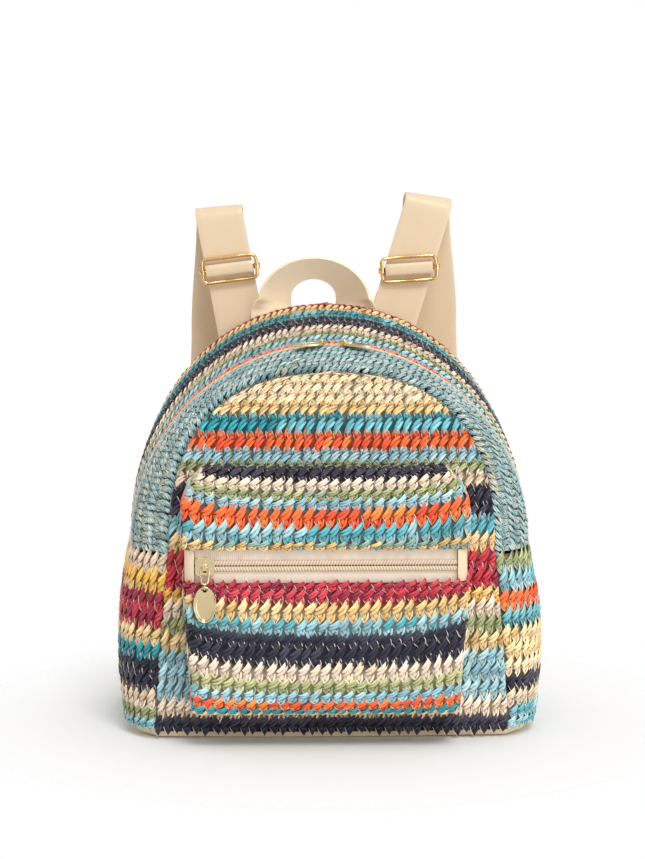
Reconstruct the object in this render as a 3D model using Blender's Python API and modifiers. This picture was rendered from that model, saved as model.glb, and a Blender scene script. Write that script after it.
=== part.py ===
"""Small straw backpack with a domed zipped body, a zipped front pocket and webbing straps.

Metres, +Z up, the front faces -Y and +X is to the right as seen from the front.
The origin is the centre of the base's flat underside.
"""

import math

import bmesh
import bpy
from mathutils import Matrix, Vector

# Cloth and gaps
FABRIC = 0.0024          # thickness of the crocheted straw and its backing
RIDGE = 0.0010           # how far the middle of a course stands out
GAP = 0.0003             # running gap between neighbouring pieces
WEB = 0.0014             # webbing thickness
WEB_WIDTH = 0.028
LINES_PER_COURSE = 2     # grid lines across one course: its groove and its crown

# Body outline: an arch over straight sides, at three stations from back to front
SPRING_Z = 0.106         # height at which the arch springs from the sides
ZIP_RADIUS = 0.112       # the main zip runs on a true half circle
BACK_HALF_WIDTH = 0.112
BACK_RISE = 0.1295
BACK_ROUNDNESS = 2.1
FRONT_HALF_WIDTH = 0.0935
FRONT_RISE = 0.1035
FRONT_ROUNDNESS = 2.5
SIDE_SWELL = 0.0052      # how far a side bellies out half way down
SIDE_FLARE = 0.0042      # how much wider the body is at its foot
FRONT_FLARE = 0.0040     # extra width of the front seam at its foot
GUSSET_BELLY = 0.0020    # how far the rear gusset bows out between back and zip

# Body depth
BACK_Y = 0.054           # seam between the rear gusset and the back panel
BODY_DEPTH = 0.110       # from that seam to the seam round the front panel
FRONT_BAND_DEPTH = 0.040  # from the front seam to the centre line of the main zip
ZIP_OPENING = 0.012      # clear width between the two gussets
ZIP_LAP = 0.004          # width of tape hidden under each gusset
FRONT_TURN = math.radians(60)   # how far the front gusset has turned inward at that seam
FRONT_BELLY = 0.0075     # how far the middle of the front panel bows out
FRONT_CROWN_DROP = 0.0012  # how far the front panel's top course stays below the tip of its arch
BACK_CROWN_DROP = 0.0015

# Base
BASE_HEIGHT = 0.0065
BASE_TUCK = 0.0015       # how far the cloth base is set in under the straw
BASE_ROUND = 0.0045
BASE_LEVELS = (0.0, 0.12, 0.45, 1.0)  # heights of its rounded edge, as shares

# Numbers of courses
REAR_COURSES = 8
FRONT_BAND_COURSES = 4
PANEL_COURSES = 24
SIDE_COURSES = 11
POCKET_UPPER_COURSES = 8
POCKET_LOWER_COURSES = 11

# How finely the surfaces are divided
ARCH_STEPS = 22
PANEL_COLUMNS = 8
BACK_COLUMNS = 4
BASE_FRONT_STEPS = 10
SIDE_BACK_STEPS = (1.0, 0.5, 0.0)    # places of a side panel's columns from the back seam to the zip
SIDE_FRONT_STEPS = (0.0, 0.55, 1.0)  # and from the zip to the front seam
STEP = 1e-4              # small step for taking a surface's slope

# Front pocket
POCKET_X = -0.0040
POCKET_DEPTH = 0.033     # from the front seam to its face
POCKET_FOOT_Z = 0.0205
POCKET_TOP_Z = 0.1545
POCKET_FOOT_HALF = 0.0735
POCKET_ZIP_HALF = 0.0780
POCKET_CORNER = 0.005    # plan radius of its upright corners
POCKET_ROLL = 0.009      # radius of its top and bottom edges
POCKET_SHOULDER = 0.022  # radius of its two top corners seen from the front
POCKET_ZIP_Z = 0.104
POCKET_ZIP_OPENING = 0.0185
POCKET_ZIP_TAB = 0.0010  # width of the cloth tab at each end of the zip
POCKET_SHOULDER_EASE = 0.9  # flattens its top corners a little
POCKET_CORNER_SHARE = 0.6   # most of the pocket's depth that a corner takes up

# Zip
TAPE = 0.0008
COIL_GAP = 0.0016        # slot between the two coils, which the slider's post runs in
COIL_WIDTH = 0.0024
COIL_HEIGHT = 0.0016

# Zip slider and pull, modelled hanging down in front of an upright wall
SLIDER_LENGTH = 0.0105
SLIDER_NOSE = 0.0102
SLIDER_TAIL = 0.0091
SLIDER_PLATE = 0.0012
SLIDER_RUN = 0.0004      # clearance between slider and coil
SLIDER_DEPTH_RUN = 0.0007
SLIDER_FLANGE = 0.0008
SLIDER_POST = 0.0007
CROWN_SPAN = 0.0062
CROWN_WIDTH = 0.0022
CROWN_STRIP = 0.0009
LINK_WIRE = 0.00055      # radius
LINK_LENGTH = 0.0095
LINK_TOP_HALF = 0.0029
LINK_FOOT_HALF = 0.0019
POCKET_LINK_LEAN = math.radians(14)
MAIN_LINK_LEAN = math.radians(12.5)
MAIN_RING_LEAN = math.radians(24)
JUMP_WIRE = 0.00045      # radius
JUMP_RADIUS = 0.0022
TAG_HALF_WIDTH = 0.0063
TAG_HALF_LENGTH = 0.0101
TAG_THICK = 0.0011
TAG_RIM = 0.0008
TAG_RECESS = 0.0002      # depth of the polished face behind the rim
TAG_HOLE = 0.0013
TAG_HOLE_INSET = 0.0020
MAIN_SLIDER_X = 0.0062   # each main slider's place either side of the crown of the arch
MAIN_SLIDER_MID_X = 0.0015
MAIN_TAG_YAW = math.radians(64)

# Straps: the front leg rises from a ring on the back, the rear leg falls to the foot
RING_WIRE = 0.0011       # radius of the wire of rings and adjusters
RING_INNER_HEIGHT = 0.0052
RING_CORNER = 0.0014
RING_Z = 0.2105
STRAP_TOP_TURN = 0.0065  # radius of the fold at the top
STRAP_TAIL = 0.026       # how far the doubled end climbs above the ring
STRAP_LEAN = 0.0086      # how far the front leg leans back up to the fold
REAR_LEG_SWING = 0.0266  # how far behind the front leg's foot the rear leg hangs at mid height
STRAP_FOOT_X = 0.084
STRAP_FOOT_Z = 0.020
LEFT_STRAP = {"side": -1, "ring_x": -0.0485, "top": (-0.0630, 0.2925), "rear_x": -0.0665,
              "adjuster_z": 0.2560, "tilt": math.radians(7.0)}
RIGHT_STRAP = {"side": 1, "ring_x": 0.0352, "top": (0.0605, 0.2990), "rear_x": 0.0655,
               "adjuster_z": 0.2560, "tilt": math.radians(4.0)}
ADJUSTER_HEIGHT = 0.0165  # outer height of the wire frame
ADJUSTER_CORNER = 0.0032
ADJUSTER_BAR = 0.0010    # radius of the centre bar
EYE_RADIUS = 0.0020      # the bar's ends, which wrap the frame's side wires
EYE_LENGTH = 0.0032
TAB_LENGTH = 0.020
FOOT_TAB_WIDTH = 0.034
FOOT_TAB_OUTER = 0.024   # height of its outer edge
FOOT_TAB_INNER = 0.030
FOOT_TAB_SLANT = 0.006

# Handle
HANDLE_X = -0.0072
HANDLE_HALF_SPAN = 0.0235
HANDLE_SPRING_Z = 0.2365
HANDLE_RISE = 0.0205
HANDLE_FOOT_Z = 0.213
HANDLE_SIDE_TWIST = math.radians(44)
HANDLE_FORWARD = 0.0042
HANDLE_TOP_TWIST = math.radians(60)

FRONT_Y = BACK_Y - BODY_DEPTH                 # seam between the front gusset and the front panel
ZIP_Y = FRONT_Y + FRONT_BAND_DEPTH            # centre line of the main zip
POCKET_Y = FRONT_Y - POCKET_DEPTH
BACK_FACE_Y = BACK_Y + GAP + FABRIC + RIDGE   # outermost face of the back panel
STRAP_Y = BACK_FACE_Y + GAP + WEB / 2         # webbing lying on the back panel
LEG_Y = STRAP_Y + WEB + GAP                   # webbing lying over the handle's sewn ends
STRAP_TOP_Y = LEG_Y + STRAP_LEAN
REAR_LEG_Y = LEG_Y + REAR_LEG_SWING
TAPE_FACE = FABRIC + GAP                      # depth of the zip tape below the straw's grooves
COIL_TOP = TAPE_FACE - GAP - COIL_HEIGHT      # depth of the coil's top below the same
PLATE_TOP = COIL_TOP - SLIDER_RUN - SLIDER_PLATE
HINGE_OUT = -PLATE_TOP + LINK_WIRE + 0.0006   # height of the link's bar above the straw's grooves


# Scene set-up

def clear_scene():
    for obj in list(bpy.data.objects):
        bpy.data.objects.remove(obj, do_unlink=True)


def new_collection(name):
    collection = bpy.data.collections.new(name)
    bpy.context.scene.collection.children.link(collection)
    return collection


def material(name, colour, roughness, metallic=0.0):
    mat = bpy.data.materials.new(name)
    mat.use_nodes = True
    shader = mat.node_tree.nodes["Principled BSDF"]
    shader.inputs["Base Color"].default_value = (*colour, 1.0)
    shader.inputs["Roughness"].default_value = roughness
    shader.inputs["Metallic"].default_value = metallic
    return mat


clear_scene()
PARTS = new_collection("straw_backpack")
CUTTERS = new_collection("cutters")
STRAW = material("straw_weave", (0.62, 0.42, 0.18), 0.7)
BLUE_STRAW = material("light_blue_straw", (0.25, 0.47, 0.55), 0.7)
CLOTH = material("cream_cloth", (0.80, 0.68, 0.50), 0.8)
WEBBING = material("cream_webbing", (0.84, 0.70, 0.50), 0.45)
ZIP_CLOTH = material("zip_tape", (0.82, 0.66, 0.52), 0.75)
NYLON = material("nylon_coil", (0.78, 0.62, 0.44), 0.5)
GOLD = material("pale_gold", (0.83, 0.60, 0.28), 0.25, 1.0)


def place(name, mesh, mat, matrix=None, parent=None):
    """Adds a named part to the collection, in world coordinates given by matrix."""
    obj = bpy.data.objects.new(name, mesh)
    obj.data.materials.append(mat)
    PARTS.objects.link(obj)
    if parent is not None:
        obj.parent = parent
        obj.matrix_parent_inverse = parent.matrix_world.inverted()
    obj.matrix_world = matrix or Matrix.Identity(4)
    return obj


def empty(name, location, parent=None):
    """An axis marker that moving pieces hang from."""
    marker = bpy.data.objects.new(name, None)
    marker.empty_display_size = 0.01
    PARTS.objects.link(marker)
    marker.matrix_world = Matrix.Translation(location)
    if parent is not None:
        marker.parent = parent
        marker.matrix_parent_inverse = parent.matrix_world.inverted()
    bpy.context.view_layer.update()
    return marker


# Mesh helpers

def grid_mesh(name, lines):
    """An open sheet through a grid of points, one list of points per line."""
    mesh = bpy.data.meshes.new(name)
    columns = len(lines[0])
    points = [point for line in lines for point in line]
    faces = []
    for row in range(len(lines) - 1):
        for col in range(columns - 1):
            first = row * columns + col
            faces.append((first, first + 1, first + columns + 1, first + columns))
    mesh.from_pydata(points, [], faces)
    mesh.shade_smooth()
    mesh.set_sharp_from_angle(angle=math.radians(50))
    return mesh


def sheet(name, lines, thickness, mat, offset=-1.0):
    """A closed cloth shell: an open sheet thickened away from its outer face."""
    obj = place(name, grid_mesh(name, lines), mat)
    thicken = obj.modifiers.new("thickness", "SOLIDIFY")
    thicken.thickness = thickness
    thicken.offset = offset
    thicken.use_even_offset = True
    return obj


def ring_stack(name, rings):
    """A closed solid through equal rings of points, with flat ends."""
    bm = bmesh.new()
    loops = [[bm.verts.new(point) for point in ring] for ring in rings]
    count = len(rings[0])
    for lower, upper in zip(loops, loops[1:]):
        for i in range(count):
            j = (i + 1) % count
            bm.faces.new((lower[i], lower[j], upper[j], upper[i]))
    bm.faces.new(list(reversed(loops[0])))
    bm.faces.new(loops[-1])
    bmesh.ops.recalc_face_normals(bm, faces=bm.faces)
    mesh = bpy.data.meshes.new(name)
    bm.to_mesh(mesh)
    bm.free()
    mesh.shade_smooth()
    mesh.set_sharp_from_angle(angle=math.radians(40))
    return mesh


def box_mesh(name, size, centre):
    bm = bmesh.new()
    bmesh.ops.create_cube(bm, size=1.0)
    bmesh.ops.scale(bm, vec=size, verts=bm.verts)
    bmesh.ops.translate(bm, vec=centre, verts=bm.verts)
    mesh = bpy.data.meshes.new(name)
    bm.to_mesh(mesh)
    bm.free()
    return mesh


def cutter(name, mesh, matrix):
    obj = bpy.data.objects.new(name, mesh)
    CUTTERS.objects.link(obj)
    obj.matrix_world = matrix
    obj.hide_render = True
    obj.display_type = "WIRE"
    return obj


def combine(target, others, operation):
    """Adds a Boolean for each helper shape in turn."""
    for other in others:
        step = target.modifiers.new(operation.lower(), "BOOLEAN")
        step.operation = operation
        step.object = other
        step.solver = "EXACT"


def wire(name, points, radius, mat, closed, matrix=None, parent=None, sides=2):
    """A round wire along points, as a curve with a bevel and filled caps."""
    curve = bpy.data.curves.new(name, "CURVE")
    curve.dimensions = "3D"
    curve.bevel_depth = radius
    curve.bevel_resolution = sides
    curve.use_fill_caps = True
    curve.resolution_u = 1
    spline = curve.splines.new("POLY")
    spline.points.add(len(points) - 1)
    for spot, point in zip(spline.points, points):
        spot.co = (*point, 1.0)
    spline.use_cyclic_u = closed
    return place(name, curve, mat, matrix, parent)


def smooth(t):
    t = min(1.0, max(0.0, t))
    return t * t * (3 - 2 * t)


def course_lines(courses):
    """Fractions across a band of courses, with how far each line stands out."""
    count = courses * LINES_PER_COURSE
    return [(i / count, RIDGE if i % LINES_PER_COURSE else 0.0) for i in range(count + 1)]


# Body surface

def front_turn(y):
    """How far the front gusset has turned inward at depth y, as a fraction of its whole drop."""
    start = ZIP_Y - ZIP_OPENING / 2 - ZIP_LAP
    if y >= start:
        return 0.0
    reach = (start - FRONT_Y) / math.sin(FRONT_TURN)
    angle = math.asin(min(1.0, (start - y) / reach))
    return (1 - math.cos(angle)) / (1 - math.cos(FRONT_TURN))


def front_band_y(t):
    """Depth at fraction t of the front gusset, with even course widths along its curve."""
    edge = ZIP_Y - ZIP_OPENING / 2
    start = edge - ZIP_LAP
    reach = (start - FRONT_Y) / math.sin(FRONT_TURN)
    flat = ZIP_LAP / (ZIP_LAP + reach * FRONT_TURN)
    if t < flat:
        return edge - ZIP_LAP * t / flat
    return start - reach * math.sin(FRONT_TURN * (t - flat) / (1 - flat))


def rear_rise(y):
    """Fraction of the way from the zip's true circle to the back seam."""
    start = ZIP_Y + ZIP_OPENING / 2 + ZIP_LAP
    return min(1.0, max(0.0, (y - start) / (BACK_Y - start)))


def outline(y):
    """Half width, rise and roundness of the arch at depth y."""
    turn = front_turn(y)
    rise = rear_rise(y)
    belly = GUSSET_BELLY * math.sin(math.pi * rise)
    half = ZIP_RADIUS + (BACK_HALF_WIDTH - ZIP_RADIUS) * rise + belly
    half -= (ZIP_RADIUS - FRONT_HALF_WIDTH) * turn
    top = ZIP_RADIUS + (BACK_RISE - ZIP_RADIUS) * rise + belly - (ZIP_RADIUS - FRONT_RISE) * turn
    power = 2 + (BACK_ROUNDNESS - 2) * rise + (FRONT_ROUNDNESS - 2) * turn
    return half, top, power


def arch_point(angle, y):
    """A point of the arch surface; angle runs from 0 at the right springing to pi at the left."""
    half, top, power = outline(y)
    c, s = math.cos(angle), math.sin(angle)
    x = math.copysign(abs(c) ** (2 / power), c) * half
    z = abs(s) ** (2 / power) * top
    return Vector((x, y, SPRING_Z + z))


def side_x(z, y):
    """Half width of the body at height z below the springing and depth y."""
    half = outline(y)[0]
    down = (SPRING_Z - z) / (SPRING_Z - BASE_HEIGHT)
    turn = front_turn(y)
    swell = SIDE_SWELL * math.sin(math.pi * down) * (1 - 0.8 * turn)
    flare = SIDE_FLARE * down + FRONT_FLARE * down * turn
    return half + swell + flare


def front_rim_inset(drop):
    """How far the gusset's inner edge reaches in past its outer edge at the front seam."""
    reach = (ZIP_Y - ZIP_OPENING / 2 - ZIP_LAP - FRONT_Y) / math.sin(FRONT_TURN)
    inward = drop / (1 - math.cos(FRONT_TURN)) * math.sin(FRONT_TURN)
    forward = reach * math.cos(FRONT_TURN)
    return FABRIC * forward / math.hypot(inward, forward) + 2 * GAP


def front_half_width(z):
    """Half width of the front panel at height z, inside the gusset's rim."""
    side_inset = front_rim_inset(ZIP_RADIUS - FRONT_HALF_WIDTH)
    if z <= SPRING_Z:
        return side_x(z, FRONT_Y) - side_inset
    top = FRONT_RISE - front_rim_inset(ZIP_RADIUS - FRONT_RISE)
    share = min(1.0, (z - SPRING_Z) / top)
    return (FRONT_HALF_WIDTH - side_inset) * (1 - share ** FRONT_ROUNDNESS) ** (1 / FRONT_ROUNDNESS)


def front_top():
    return SPRING_Z + FRONT_RISE - front_rim_inset(ZIP_RADIUS - FRONT_RISE)


def front_face_y(x, z):
    """Depth of the front panel's grooves: it bows out towards its middle."""
    across = min(1.0, abs(x) / FRONT_HALF_WIDTH)
    middle = SPRING_Z * 0.85
    reach = middle - BASE_HEIGHT if z < middle else SPRING_Z + FRONT_RISE - middle
    along = min(1.0, abs(z - middle) / reach)
    return FRONT_Y - FRONT_BELLY * (1 - across ** 2) * (1 - 0.55 * along ** 2)


# Body panels

def arch_angles():
    return [math.pi * i / ARCH_STEPS for i in range(ARCH_STEPS + 1)]


def arch_line(y, lift):
    """One line of points along the arch, standing out by lift from the surface."""
    line = []
    for angle in arch_angles():
        ahead = arch_point(angle, y - STEP) - arch_point(angle, y + STEP)
        along = arch_point(min(math.pi, angle + STEP), y) - arch_point(max(0.0, angle - STEP), y)
        line.append(arch_point(angle, y) + along.cross(ahead).normalized() * lift)
    return line


def rear_gusset():
    edge = ZIP_Y + ZIP_OPENING / 2
    lines = [arch_line(BACK_Y + (edge - BACK_Y) * t, lift) for t, lift in course_lines(REAR_COURSES)]
    return sheet("rear_gusset", lines, FABRIC, STRAW)


def front_gusset():
    lines = [arch_line(front_band_y(t), lift) for t, lift in course_lines(FRONT_BAND_COURSES)]
    return sheet("front_gusset", lines, FABRIC, BLUE_STRAW)


def side_depths():
    back = [ZIP_Y + (BACK_Y - ZIP_Y) * share for share in SIDE_BACK_STEPS]
    front = [front_band_y(share) for share in SIDE_FRONT_STEPS]
    return back + front


def side_panel(name, side):
    foot = BASE_HEIGHT + GAP
    top = SPRING_Z - GAP
    lines = []
    for t, lift in course_lines(SIDE_COURSES):
        z = top + (foot - top) * t
        line = []
        for y in side_depths():
            slope = (side_x(z, y + STEP) - side_x(z, y - STEP)) / (2 * STEP)
            normal = Vector((1.0, -slope, 0.0)).normalized()
            spot = Vector((side_x(z, y), y, z)) + normal * lift
            line.append(Vector((side * spot.x, spot.y, spot.z)))
        lines.append(line if side > 0 else list(reversed(line)))
    return sheet(name, lines, FABRIC, STRAW)


def front_panel():
    foot = BASE_HEIGHT + GAP
    top = front_top() - FRONT_CROWN_DROP
    lines = []
    for t, lift in course_lines(PANEL_COURSES):
        z = top + (foot - top) * t
        half = front_half_width(z)
        xs = [half * (2 * i / PANEL_COLUMNS - 1) for i in range(PANEL_COLUMNS + 1)]
        lines.append([Vector((x, front_face_y(x, z) - lift, z)) for x in xs])
    return sheet("front_panel", lines, FABRIC, STRAW, 1.0)


def back_half_width(z):
    if z <= SPRING_Z:
        return side_x(z, BACK_Y)
    share = min(1.0, (z - SPRING_Z) / BACK_RISE)
    return BACK_HALF_WIDTH * (1 - share ** BACK_ROUNDNESS) ** (1 / BACK_ROUNDNESS)


def back_panel():
    foot = BASE_HEIGHT + GAP
    top = SPRING_Z + BACK_RISE - BACK_CROWN_DROP
    lines = []
    for t, lift in course_lines(PANEL_COURSES):
        z = top + (foot - top) * t
        half = back_half_width(z)
        xs = [half * (2 * i / BACK_COLUMNS - 1) for i in range(BACK_COLUMNS + 1)]
        lines.append([Vector((x, BACK_Y + GAP + FABRIC + lift, z)) for x in xs])
    return sheet("back_panel", lines, FABRIC, STRAW)


def base_outline():
    """Plan of the body at its foot, anticlockwise seen from above, starting at the back right."""
    z = BASE_HEIGHT + GAP
    right = [(side_x(z, y), y) for y in reversed(side_depths())]
    half = front_half_width(z)
    xs = [half * (2 * i / BASE_FRONT_STEPS - 1) for i in range(1, BASE_FRONT_STEPS)]
    front = [(x, front_face_y(x, z)) for x in xs]
    left = [(-x, y) for x, y in reversed(right)]
    return left + front + right


def base_panel():
    plan = base_outline()
    depth_half = (BACK_Y - FRONT_Y) / 2
    middle = (BACK_Y + FRONT_Y) / 2
    rings = []
    for share in BASE_LEVELS:
        z = BASE_HEIGHT * share
        inset = BASE_TUCK + BASE_ROUND * (1 - math.sqrt(1 - (1 - share) ** 2))
        kx = 1 - inset / ZIP_RADIUS
        ky = 1 - inset / depth_half
        rings.append([Vector((x * kx, middle + (y - middle) * ky, z)) for x, y in plan])
    return place("base_panel", ring_stack("base_panel", rings), CLOTH)


# Main zip

def zip_arc(depth, y):
    """Points on the true half circle that the main zip follows, sunk by depth."""
    radius = ZIP_RADIUS - depth
    return [Vector((radius * math.cos(a), y, SPRING_Z + radius * math.sin(a))) for a in arch_angles()]


def main_tape(name, side):
    """side is +1 for the tape under the rear gusset and -1 for the one under the front gusset."""
    inner = ZIP_Y + side * COIL_GAP / 2
    outer = ZIP_Y + side * (ZIP_OPENING / 2 + ZIP_LAP - GAP)
    lines = [zip_arc(TAPE_FACE, max(inner, outer)), zip_arc(TAPE_FACE, min(inner, outer))]
    return sheet(name, lines, TAPE, ZIP_CLOTH)


def coil_section(side):
    """Corners of a coil's section: distance along the tape's width and height above the tape."""
    inner = side * COIL_GAP / 2
    outer = side * (COIL_GAP / 2 + COIL_WIDTH)
    bevel = side * COIL_WIDTH * 0.25
    return [(inner, 0.0), (inner + bevel * 0.4, COIL_HEIGHT), (outer - bevel, COIL_HEIGHT), (outer, 0.0)]


def main_coil(name, side):
    rings = []
    for i, angle in enumerate(arch_angles()):
        ring = []
        for across, height in coil_section(side):
            radius = ZIP_RADIUS - (TAPE_FACE - GAP) + height
            ring.append(Vector((radius * math.cos(angle), ZIP_Y + across,
                                SPRING_Z + radius * math.sin(angle))))
        rings.append(ring)
    return place(name, ring_stack(name, rings), NYLON)


# Front pocket

def pocket_half(z):
    """Half width of the pocket's face at height z, with its rounded top corners."""
    t = (z - POCKET_FOOT_Z) / (POCKET_ZIP_Z - POCKET_FOOT_Z)
    half = POCKET_FOOT_HALF + (POCKET_ZIP_HALF - POCKET_FOOT_HALF) * min(1.0, smooth(t))
    into = max(0.0, z - (POCKET_TOP_Z - POCKET_SHOULDER)) * POCKET_SHOULDER_EASE
    return half - (POCKET_SHOULDER - math.sqrt(POCKET_SHOULDER ** 2 - into ** 2))


def pocket_path(half, front_y, z, lift, radius):
    """A line of points round the pocket in plan: back along one side, the face, the other side."""
    right = [Vector((half + lift, pocket_rear(POCKET_X + half, z), z))]
    for a in (0, 30, 60, 90):
        angle = math.radians(a)
        right.append(Vector((half - radius + (radius + lift) * math.cos(angle),
                             front_y + radius - (radius + lift) * math.sin(angle), z)))
    right.append(Vector(((half - radius) / 2, front_y - lift, z)))
    middle = [Vector((0.0, front_y - lift, z))]
    left = [Vector((-p.x, p.y, p.z)) for p in right]
    return [Vector((POCKET_X + p.x, p.y, p.z)) for p in left + middle + list(reversed(right))]


def pocket_rear(x, z):
    """Where the pocket's cloth ends, just in front of the front panel."""
    return front_face_y(x, z) - RIDGE - GAP


def pocket_lines(start, edge, courses, way):
    """Lines of a pocket panel from its zip edge at start to the front panel, rolling over at edge.

    way is +1 for the panel that rises and rolls back over the top, -1 for the one that falls.
    """
    roll_start = edge - way * POCKET_ROLL
    deep = POCKET_Y + POCKET_ROLL
    straight = abs(roll_start - start)
    arc = POCKET_ROLL * math.pi / 2
    reach = pocket_rear(POCKET_X, edge) - FABRIC - deep
    lines = []
    for t, lift in course_lines(courses):
        run = t * (straight + arc + reach)
        turned = min(max(run - straight, 0.0) / POCKET_ROLL, math.pi / 2)
        flat = max(run - straight - arc, 0.0)
        z = start + way * (min(run, straight) + POCKET_ROLL * math.sin(turned))
        y = deep - POCKET_ROLL * math.cos(turned) + flat
        half = pocket_half(z) - flat
        radius = min(POCKET_CORNER, (pocket_rear(POCKET_X + half, z) - y) * POCKET_CORNER_SHARE)
        line = pocket_path(half, y, z, lift * math.cos(turned), radius)
        lines.append([p + Vector((0, 0, way * lift * math.sin(turned))) for p in line])
    return lines


def pocket_upper():
    """Face above the zip, rolling back over the top to the front panel."""
    zip_edge = POCKET_ZIP_Z + POCKET_ZIP_OPENING / 2
    lines = pocket_lines(zip_edge, POCKET_TOP_Z, POCKET_UPPER_COURSES, 1)
    return sheet("pocket_upper", list(reversed(lines)), FABRIC, STRAW, 1.0)


def pocket_lower():
    """Face below the zip with the sides, rolling back under to the front panel."""
    zip_edge = POCKET_ZIP_Z - POCKET_ZIP_OPENING / 2
    lines = pocket_lines(zip_edge, POCKET_FOOT_Z, POCKET_LOWER_COURSES, -1)
    return sheet("pocket_lower", lines, FABRIC, STRAW, 1.0)


def pocket_zip_span():
    """Half length of the zip that shows between its end tabs."""
    return POCKET_ZIP_HALF - POCKET_CORNER - POCKET_ZIP_TAB


def pocket_tape(name, side):
    near = POCKET_ZIP_Z + side * COIL_GAP / 2
    far = POCKET_ZIP_Z + side * (POCKET_ZIP_OPENING / 2 + ZIP_LAP)
    half = pocket_zip_span()
    y = POCKET_Y + TAPE_FACE
    lines = []
    for z in (max(near, far), min(near, far)):
        lines.append([Vector((POCKET_X + half * s, y, z)) for s in (-1.0, 1.0)])
    return sheet(name, lines, TAPE, ZIP_CLOTH, 1.0)


def pocket_coil(name, side):
    half = pocket_zip_span()
    rings = []
    for x in (-half, half):
        ring = []
        for across, height in coil_section(side):
            ring.append(Vector((POCKET_X + x, POCKET_Y + TAPE_FACE - GAP - height, POCKET_ZIP_Z + across)))
        rings.append(ring)
    return place(name, ring_stack(name, rings), NYLON)


def pocket_end_tab(name, side):
    """Cloth tab folded round the end of the zip, between the upper and lower pocket panels."""
    start = pocket_zip_span() + GAP
    height = POCKET_ZIP_OPENING - 2 * GAP
    path = [(start, POCKET_Y + GAP)]
    corner = POCKET_ZIP_HALF - POCKET_CORNER
    for a in (0, 30, 60, 90):
        angle = math.radians(a)
        path.append((corner + (POCKET_CORNER - GAP) * math.sin(angle),
                     POCKET_Y + POCKET_CORNER - (POCKET_CORNER - GAP) * math.cos(angle)))
    rear = min(pocket_rear(POCKET_X + side * POCKET_ZIP_HALF, POCKET_ZIP_Z) for side in (-1, 1))
    path.append((POCKET_ZIP_HALF - GAP, rear))
    lines = []
    for z in (POCKET_ZIP_Z + height / 2, POCKET_ZIP_Z - height / 2):
        line = [Vector((POCKET_X + side * x, y, z)) for x, y in path]
        lines.append(line if side > 0 else list(reversed(line)))
    return sheet(name, lines, FABRIC, CLOTH, 1.0)


# Zip slider and pull, in a frame whose origin is on the straw's face over the coil:
# X along the zip, -Y out of the wall, -Z the way the pull hangs

def slider(name, matrix, parent, nose):
    """nose is the sign of X at which the slider's wide end lies."""
    half_nose, half_tail = SLIDER_NOSE / 2, SLIDER_TAIL / 2
    ends = (-nose * SLIDER_LENGTH / 2, nose * SLIDER_LENGTH / 2)
    top_y, under_y = PLATE_TOP, PLATE_TOP + SLIDER_PLATE
    back_y = TAPE_FACE + TAPE + SLIDER_DEPTH_RUN

    def plate(label, y0, y1):
        plan = [(ends[0], half_tail), (0.0, half_tail), (ends[1] * 0.7, half_nose), (ends[1], half_nose * 0.75)]
        plan += [(x, -z) for x, z in reversed(plan)]
        return ring_stack(label, [[Vector((x, y, z)) for x, z in plan] for y in (y0, y1)])

    body = place(name, plate(name, top_y, under_y), GOLD, matrix, parent)
    lip_y = TAPE_FACE - SLIDER_RUN
    lip_z = COIL_GAP / 2 + COIL_WIDTH + SLIDER_RUN + SLIDER_FLANGE / 2
    overlap = SLIDER_PLATE / 2
    shapes = [plate(name + "_under", back_y, back_y + SLIDER_PLATE)]
    for z in (-lip_z, lip_z):
        height = lip_y - under_y + overlap
        size = (SLIDER_LENGTH * 0.94, height, SLIDER_FLANGE)
        shapes.append(box_mesh(name + "_lip", size, (0, lip_y - height / 2, z)))
    post_height = back_y - under_y + 2 * overlap
    post_x = nose * (SLIDER_LENGTH / 2 - 0.0022)
    shapes.append(box_mesh(name + "_post", (0.0028, post_height, SLIDER_POST),
                           (post_x, (back_y + under_y) / 2, 0)))
    shapes.append(crown_mesh(name + "_crown", top_y + overlap))
    helpers = [cutter(f"{name}_shape_{i}", mesh, matrix) for i, mesh in enumerate(shapes)]
    combine(body, helpers, "UNION")
    return body


def crown_mesh(name, foot_y):
    """The strip bridging the slider, which the link's bar turns under."""
    head = -HINGE_OUT - LINK_WIRE - 0.0005
    half = CROWN_SPAN / 2
    outer = [(-half, foot_y), (-half, head + 0.0008), (-half * 0.55, head - CROWN_STRIP),
             (half * 0.55, head - CROWN_STRIP), (half, head + 0.0008), (half, foot_y)]
    inset = half - CROWN_STRIP
    inner = [(inset, foot_y), (inset, head + 0.0010), (inset * 0.6, head),
             (-inset * 0.6, head), (-inset, head + 0.0010), (-inset, foot_y)]
    profile = outer + inner
    rings = [[Vector((x, y, z)) for z, y in profile] for x in (-CROWN_WIDTH / 2, CROWN_WIDTH / 2)]
    return ring_stack(name, rings)


def link_points():
    """Loop of the link round its bar at the origin, hanging down -Z."""
    points = [Vector((-LINK_TOP_HALF, 0, 0)), Vector((LINK_TOP_HALF, 0, 0))]
    centre = -(LINK_LENGTH - LINK_FOOT_HALF)
    steps = 6
    for i in range(steps + 1):
        a = math.pi * i / steps
        points.append(Vector((LINK_FOOT_HALF * math.cos(a), 0, centre - LINK_FOOT_HALF * math.sin(a))))
    return points


def jump_points():
    """Ring in the YZ plane threaded on the link's foot, which is the origin."""
    drop = JUMP_RADIUS - (LINK_WIRE + JUMP_WIRE + GAP)
    steps = 12
    return [Vector((0, JUMP_RADIUS * math.sin(2 * math.pi * i / steps),
                    -drop + JUMP_RADIUS * math.cos(2 * math.pi * i / steps))) for i in range(steps)]


def jump_reach():
    """Distance from the link's foot to the ring's lowest wire."""
    return 2 * JUMP_RADIUS - (LINK_WIRE + JUMP_WIRE + GAP)


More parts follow.
